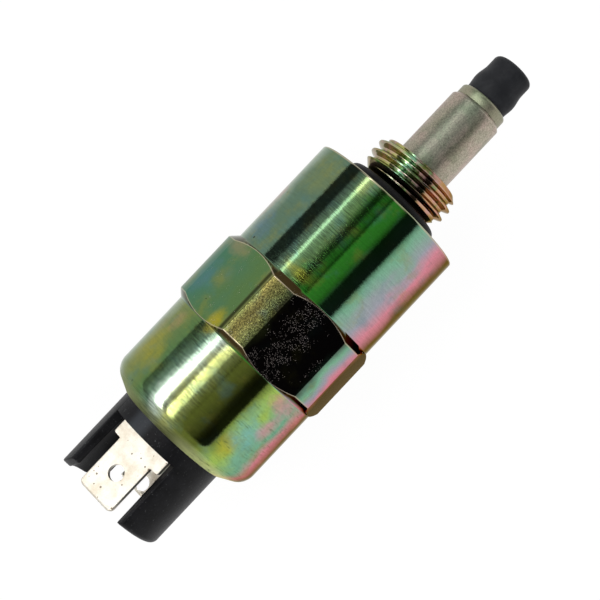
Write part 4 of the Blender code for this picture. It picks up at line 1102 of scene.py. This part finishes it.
wire = winding_finish()
dress(wire, "coil_winding", "lead_front", "lead_rear")
dress(dull_finish("bobbin_nylon", (226, 220, 200), (212, 204, 180), 0.42, 1.5), "bobbin")
dress(dull_finish("wrap_polyester", (204, 170, 70), (188, 150, 52), 0.35, 2.0, (0.2, 1, 1)), "coil_wrap")
dress(dull_finish("pressed_fibre", (150, 74, 46), (122, 54, 34), 0.7, 4.0, (1, 0.3, 1)), "insulating_disc")


# Table: a round white light table that fades to pure white, and keeps the solenoid's soft shadow.
TABLE_RADIUS = 190 * MM
SHADOW_SHARE = 0.1
GLOW = 1.04
TABLE_SIDES = 96


def table_finish():
    """White card. Where the camera, a gloss or a glass looks at it, most of its light is its own glow, a
    little over white."""
    made, tree, shader = new_finish("white_table", 0.0)
    place = step(tree, "TexCoord").outputs["Object"]
    card = mixed(tree, noise(tree, place, 90.0), tint(246, 246, 246), tint(250, 250, 250))
    put(tree, shader.inputs["Base Color"], card)
    paths = step(tree, "LightPath").outputs
    seen = sum_of(tree, "MAXIMUM", paths["Is Camera Ray"], paths["Is Glossy Ray"])
    seen = sum_of(tree, "MAXIMUM", seen, paths["Is Transmission Ray"])
    glow = step(tree, "Emission", (("Strength", GLOW),))
    share = sum_of(tree, "MULTIPLY", seen, 1 - SHADOW_SHARE)
    surface = step(tree, "MixShader", enumerate((share, shader, glow)))
    tree.links.new(surface.outputs[0], tree.nodes["Material Output"].inputs["Surface"])
    return made


table_angles = np.arange(TABLE_SIDES) * FULL_TURN / TABLE_SIDES
rim = np.stack([np.cos(table_angles), np.sin(table_angles), 0 * table_angles], axis=-1) * TABLE_RADIUS
table_mesh = bpy.data.meshes.new("table")
table_mesh.from_pydata(rim.tolist(), [], [list(range(TABLE_SIDES))])
table_mesh.materials.append(table_finish())
table = bpy.data.objects.new("table", table_mesh)
table.location.z = housing_low.z
bpy.context.scene.collection.objects.link(table)


# Studio: long soft boxes and dark gaps parallel to the axis, as pairs of degrees from the side that faces the
# viewer and brightness, one row of boxes for rays that go towards the front and one for the rear. Camera and
# transmission rays see plain white instead.
BRIGHTEST = 5.0
STUDIO_FROM, STUDIO_TO = math.radians(-90), math.radians(140)
FRONT_BANDS = (
    (-90, 0.09), (-60, 0.08), (-56.5, 0.5), (-51, 0.7), (-46, 1.0), (-44.5, 5.0), (-40.5, 5.0), (-39, 1.6),
    (-33, 1.2), (-26, 0.95), (-22, 0.5), (-18, 0.1), (-12.5, 0.08), (-10.5, 0.42), (-3, 0.36), (-1, 0.14),
    (1, 0.16),
    (3.5, 0.72), (17, 0.6), (23, 0.3), (26.5, 0.03), (46, 0.02), (49.5, 0.6), (55, 0.95), (62, 1), (140, 1),
)
REAR_BANDS = (
    (-90, 0.3), (-78, 0.3), (-74, 0.7), (-71, 0.5), (-66, 1.1), (-60, 1.5), (-53, 2.0), (-51, 5.0),
    (-37.5, 5.0), (-36.5, 0.8), (-32, 0.45), (-28, 0.55), (-26.5, 4.8), (-15.0, 4.8), (-13, 1.3), (-8, 1.0),
    (0, 0.85), (8, 0.65), (16, 0.4), (23, 0.3), (28, 0.12), (34, 0.04), (45, 0.04), (47, 0.9), (54, 1),
    (140, 1),
)


def grey(level):
    """A brightness as a grey colour, in shares of the brightest."""
    return (*(level / BRIGHTEST,) * 3, 1.0)


def band_ramp(tree, share, bands):
    """The soft boxes' brightness along a share of the studio's turn."""
    start, end = math.degrees(STUDIO_FROM), math.degrees(STUDIO_TO)
    width = end - start
    return colour_ramp(tree, share, [((angle - start) / width, grey(level)) for angle, level in bands])


def build_studio():
    """A ray's turn about the axis picks the band; rays near the axis's own direction see an even pale end."""
    world = bpy.data.worlds.new("studio")
    bpy.context.scene.world = world
    world.use_nodes = True
    tree = world.node_tree
    tree.nodes.clear()
    ray = step(tree, "TexCoord").outputs["Generated"]
    ways = (
        (0, math.cos(FACING_VIEWER), math.sin(FACING_VIEWER)),
        (0, -math.sin(FACING_VIEWER), math.cos(FACING_VIEWER)),
        (1, 0, 0),
    )
    products = [step(tree, "VectorMath", ((0, ray), (1, way)), operation="DOT_PRODUCT") for way in ways]
    towards, aside, forwards = (product.outputs["Value"] for product in products)
    turn = sum_of(tree, "ARCTAN2", aside, towards)
    share = step(tree, "MapRange", enumerate((turn, STUDIO_FROM, STUDIO_TO, 0.0, 1.0)))
    rear, front = band_ramp(tree, share, REAR_BANDS), band_ramp(tree, share, FRONT_BANDS)
    bands = mixed(tree, banded(tree, forwards, -0.05, -0.03), rear, front)
    ends = banded(tree, sum_of(tree, "ABSOLUTE", forwards), 0.55, 0.8)
    colour = mixed(tree, ends, bands, grey(1))
    light = step(tree, "Background", (("Color", colour), ("Strength", BRIGHTEST)))
    backdrop = step(tree, "Background", (("Color", (1, 1, 1, 1)), ("Strength", 1.0)))
    path = step(tree, "LightPath").outputs
    seen = sum_of(tree, "MAXIMUM", path["Is Camera Ray"], path["Is Transmission Ray"])
    surface = step(tree, "MixShader", enumerate((seen, light, backdrop)))
    output = step(tree, "OutputWorld")
    tree.links.new(surface.outputs[0], output.inputs["Surface"])


build_studio()
bpy.context.scene.view_settings.view_transform = "Standard"


# Camera: looks down on the solenoid's side, with the axis rising to the right across the square frame.
CAMERA_DISTANCE = 197 * MM
CAMERA_LENS = 85.7
AXIS_RISE = math.radians(46.7)
TERMINAL_END_NEARER = math.radians(1.5)
AIM_STATION = -17.7 * MM
AIM_ASIDE = 0.17 * MM

towards = Vector((0, math.cos(FACING_VIEWER), math.sin(FACING_VIEWER)))
aside = Vector((0, -math.sin(FACING_VIEWER), math.cos(FACING_VIEWER)))
backwards = towards * math.cos(TERMINAL_END_NEARER) - Vector((math.sin(TERMINAL_END_NEARER), 0, 0))
along = backwards.cross(aside)
right = along * math.cos(AXIS_RISE) + aside * math.sin(AXIS_RISE)
upwards = along * math.sin(AXIS_RISE) - aside * math.cos(AXIS_RISE)
aim = Vector((SHOULDER_X + AIM_STATION, 0, AXIS_Z)) + aside * AIM_ASIDE

camera_data = bpy.data.cameras.new("camera")
camera_data.lens = CAMERA_LENS
camera_data.sensor_width = 36
camera_data.clip_start = 0.01
camera = bpy.data.objects.new("camera", camera_data)
camera.matrix_world = Matrix((right, upwards, backwards)).transposed().to_4x4()
camera.location = aim + backwards * CAMERA_DISTANCE
bpy.context.scene.collection.objects.link(camera)
bpy.context.scene.camera = camera
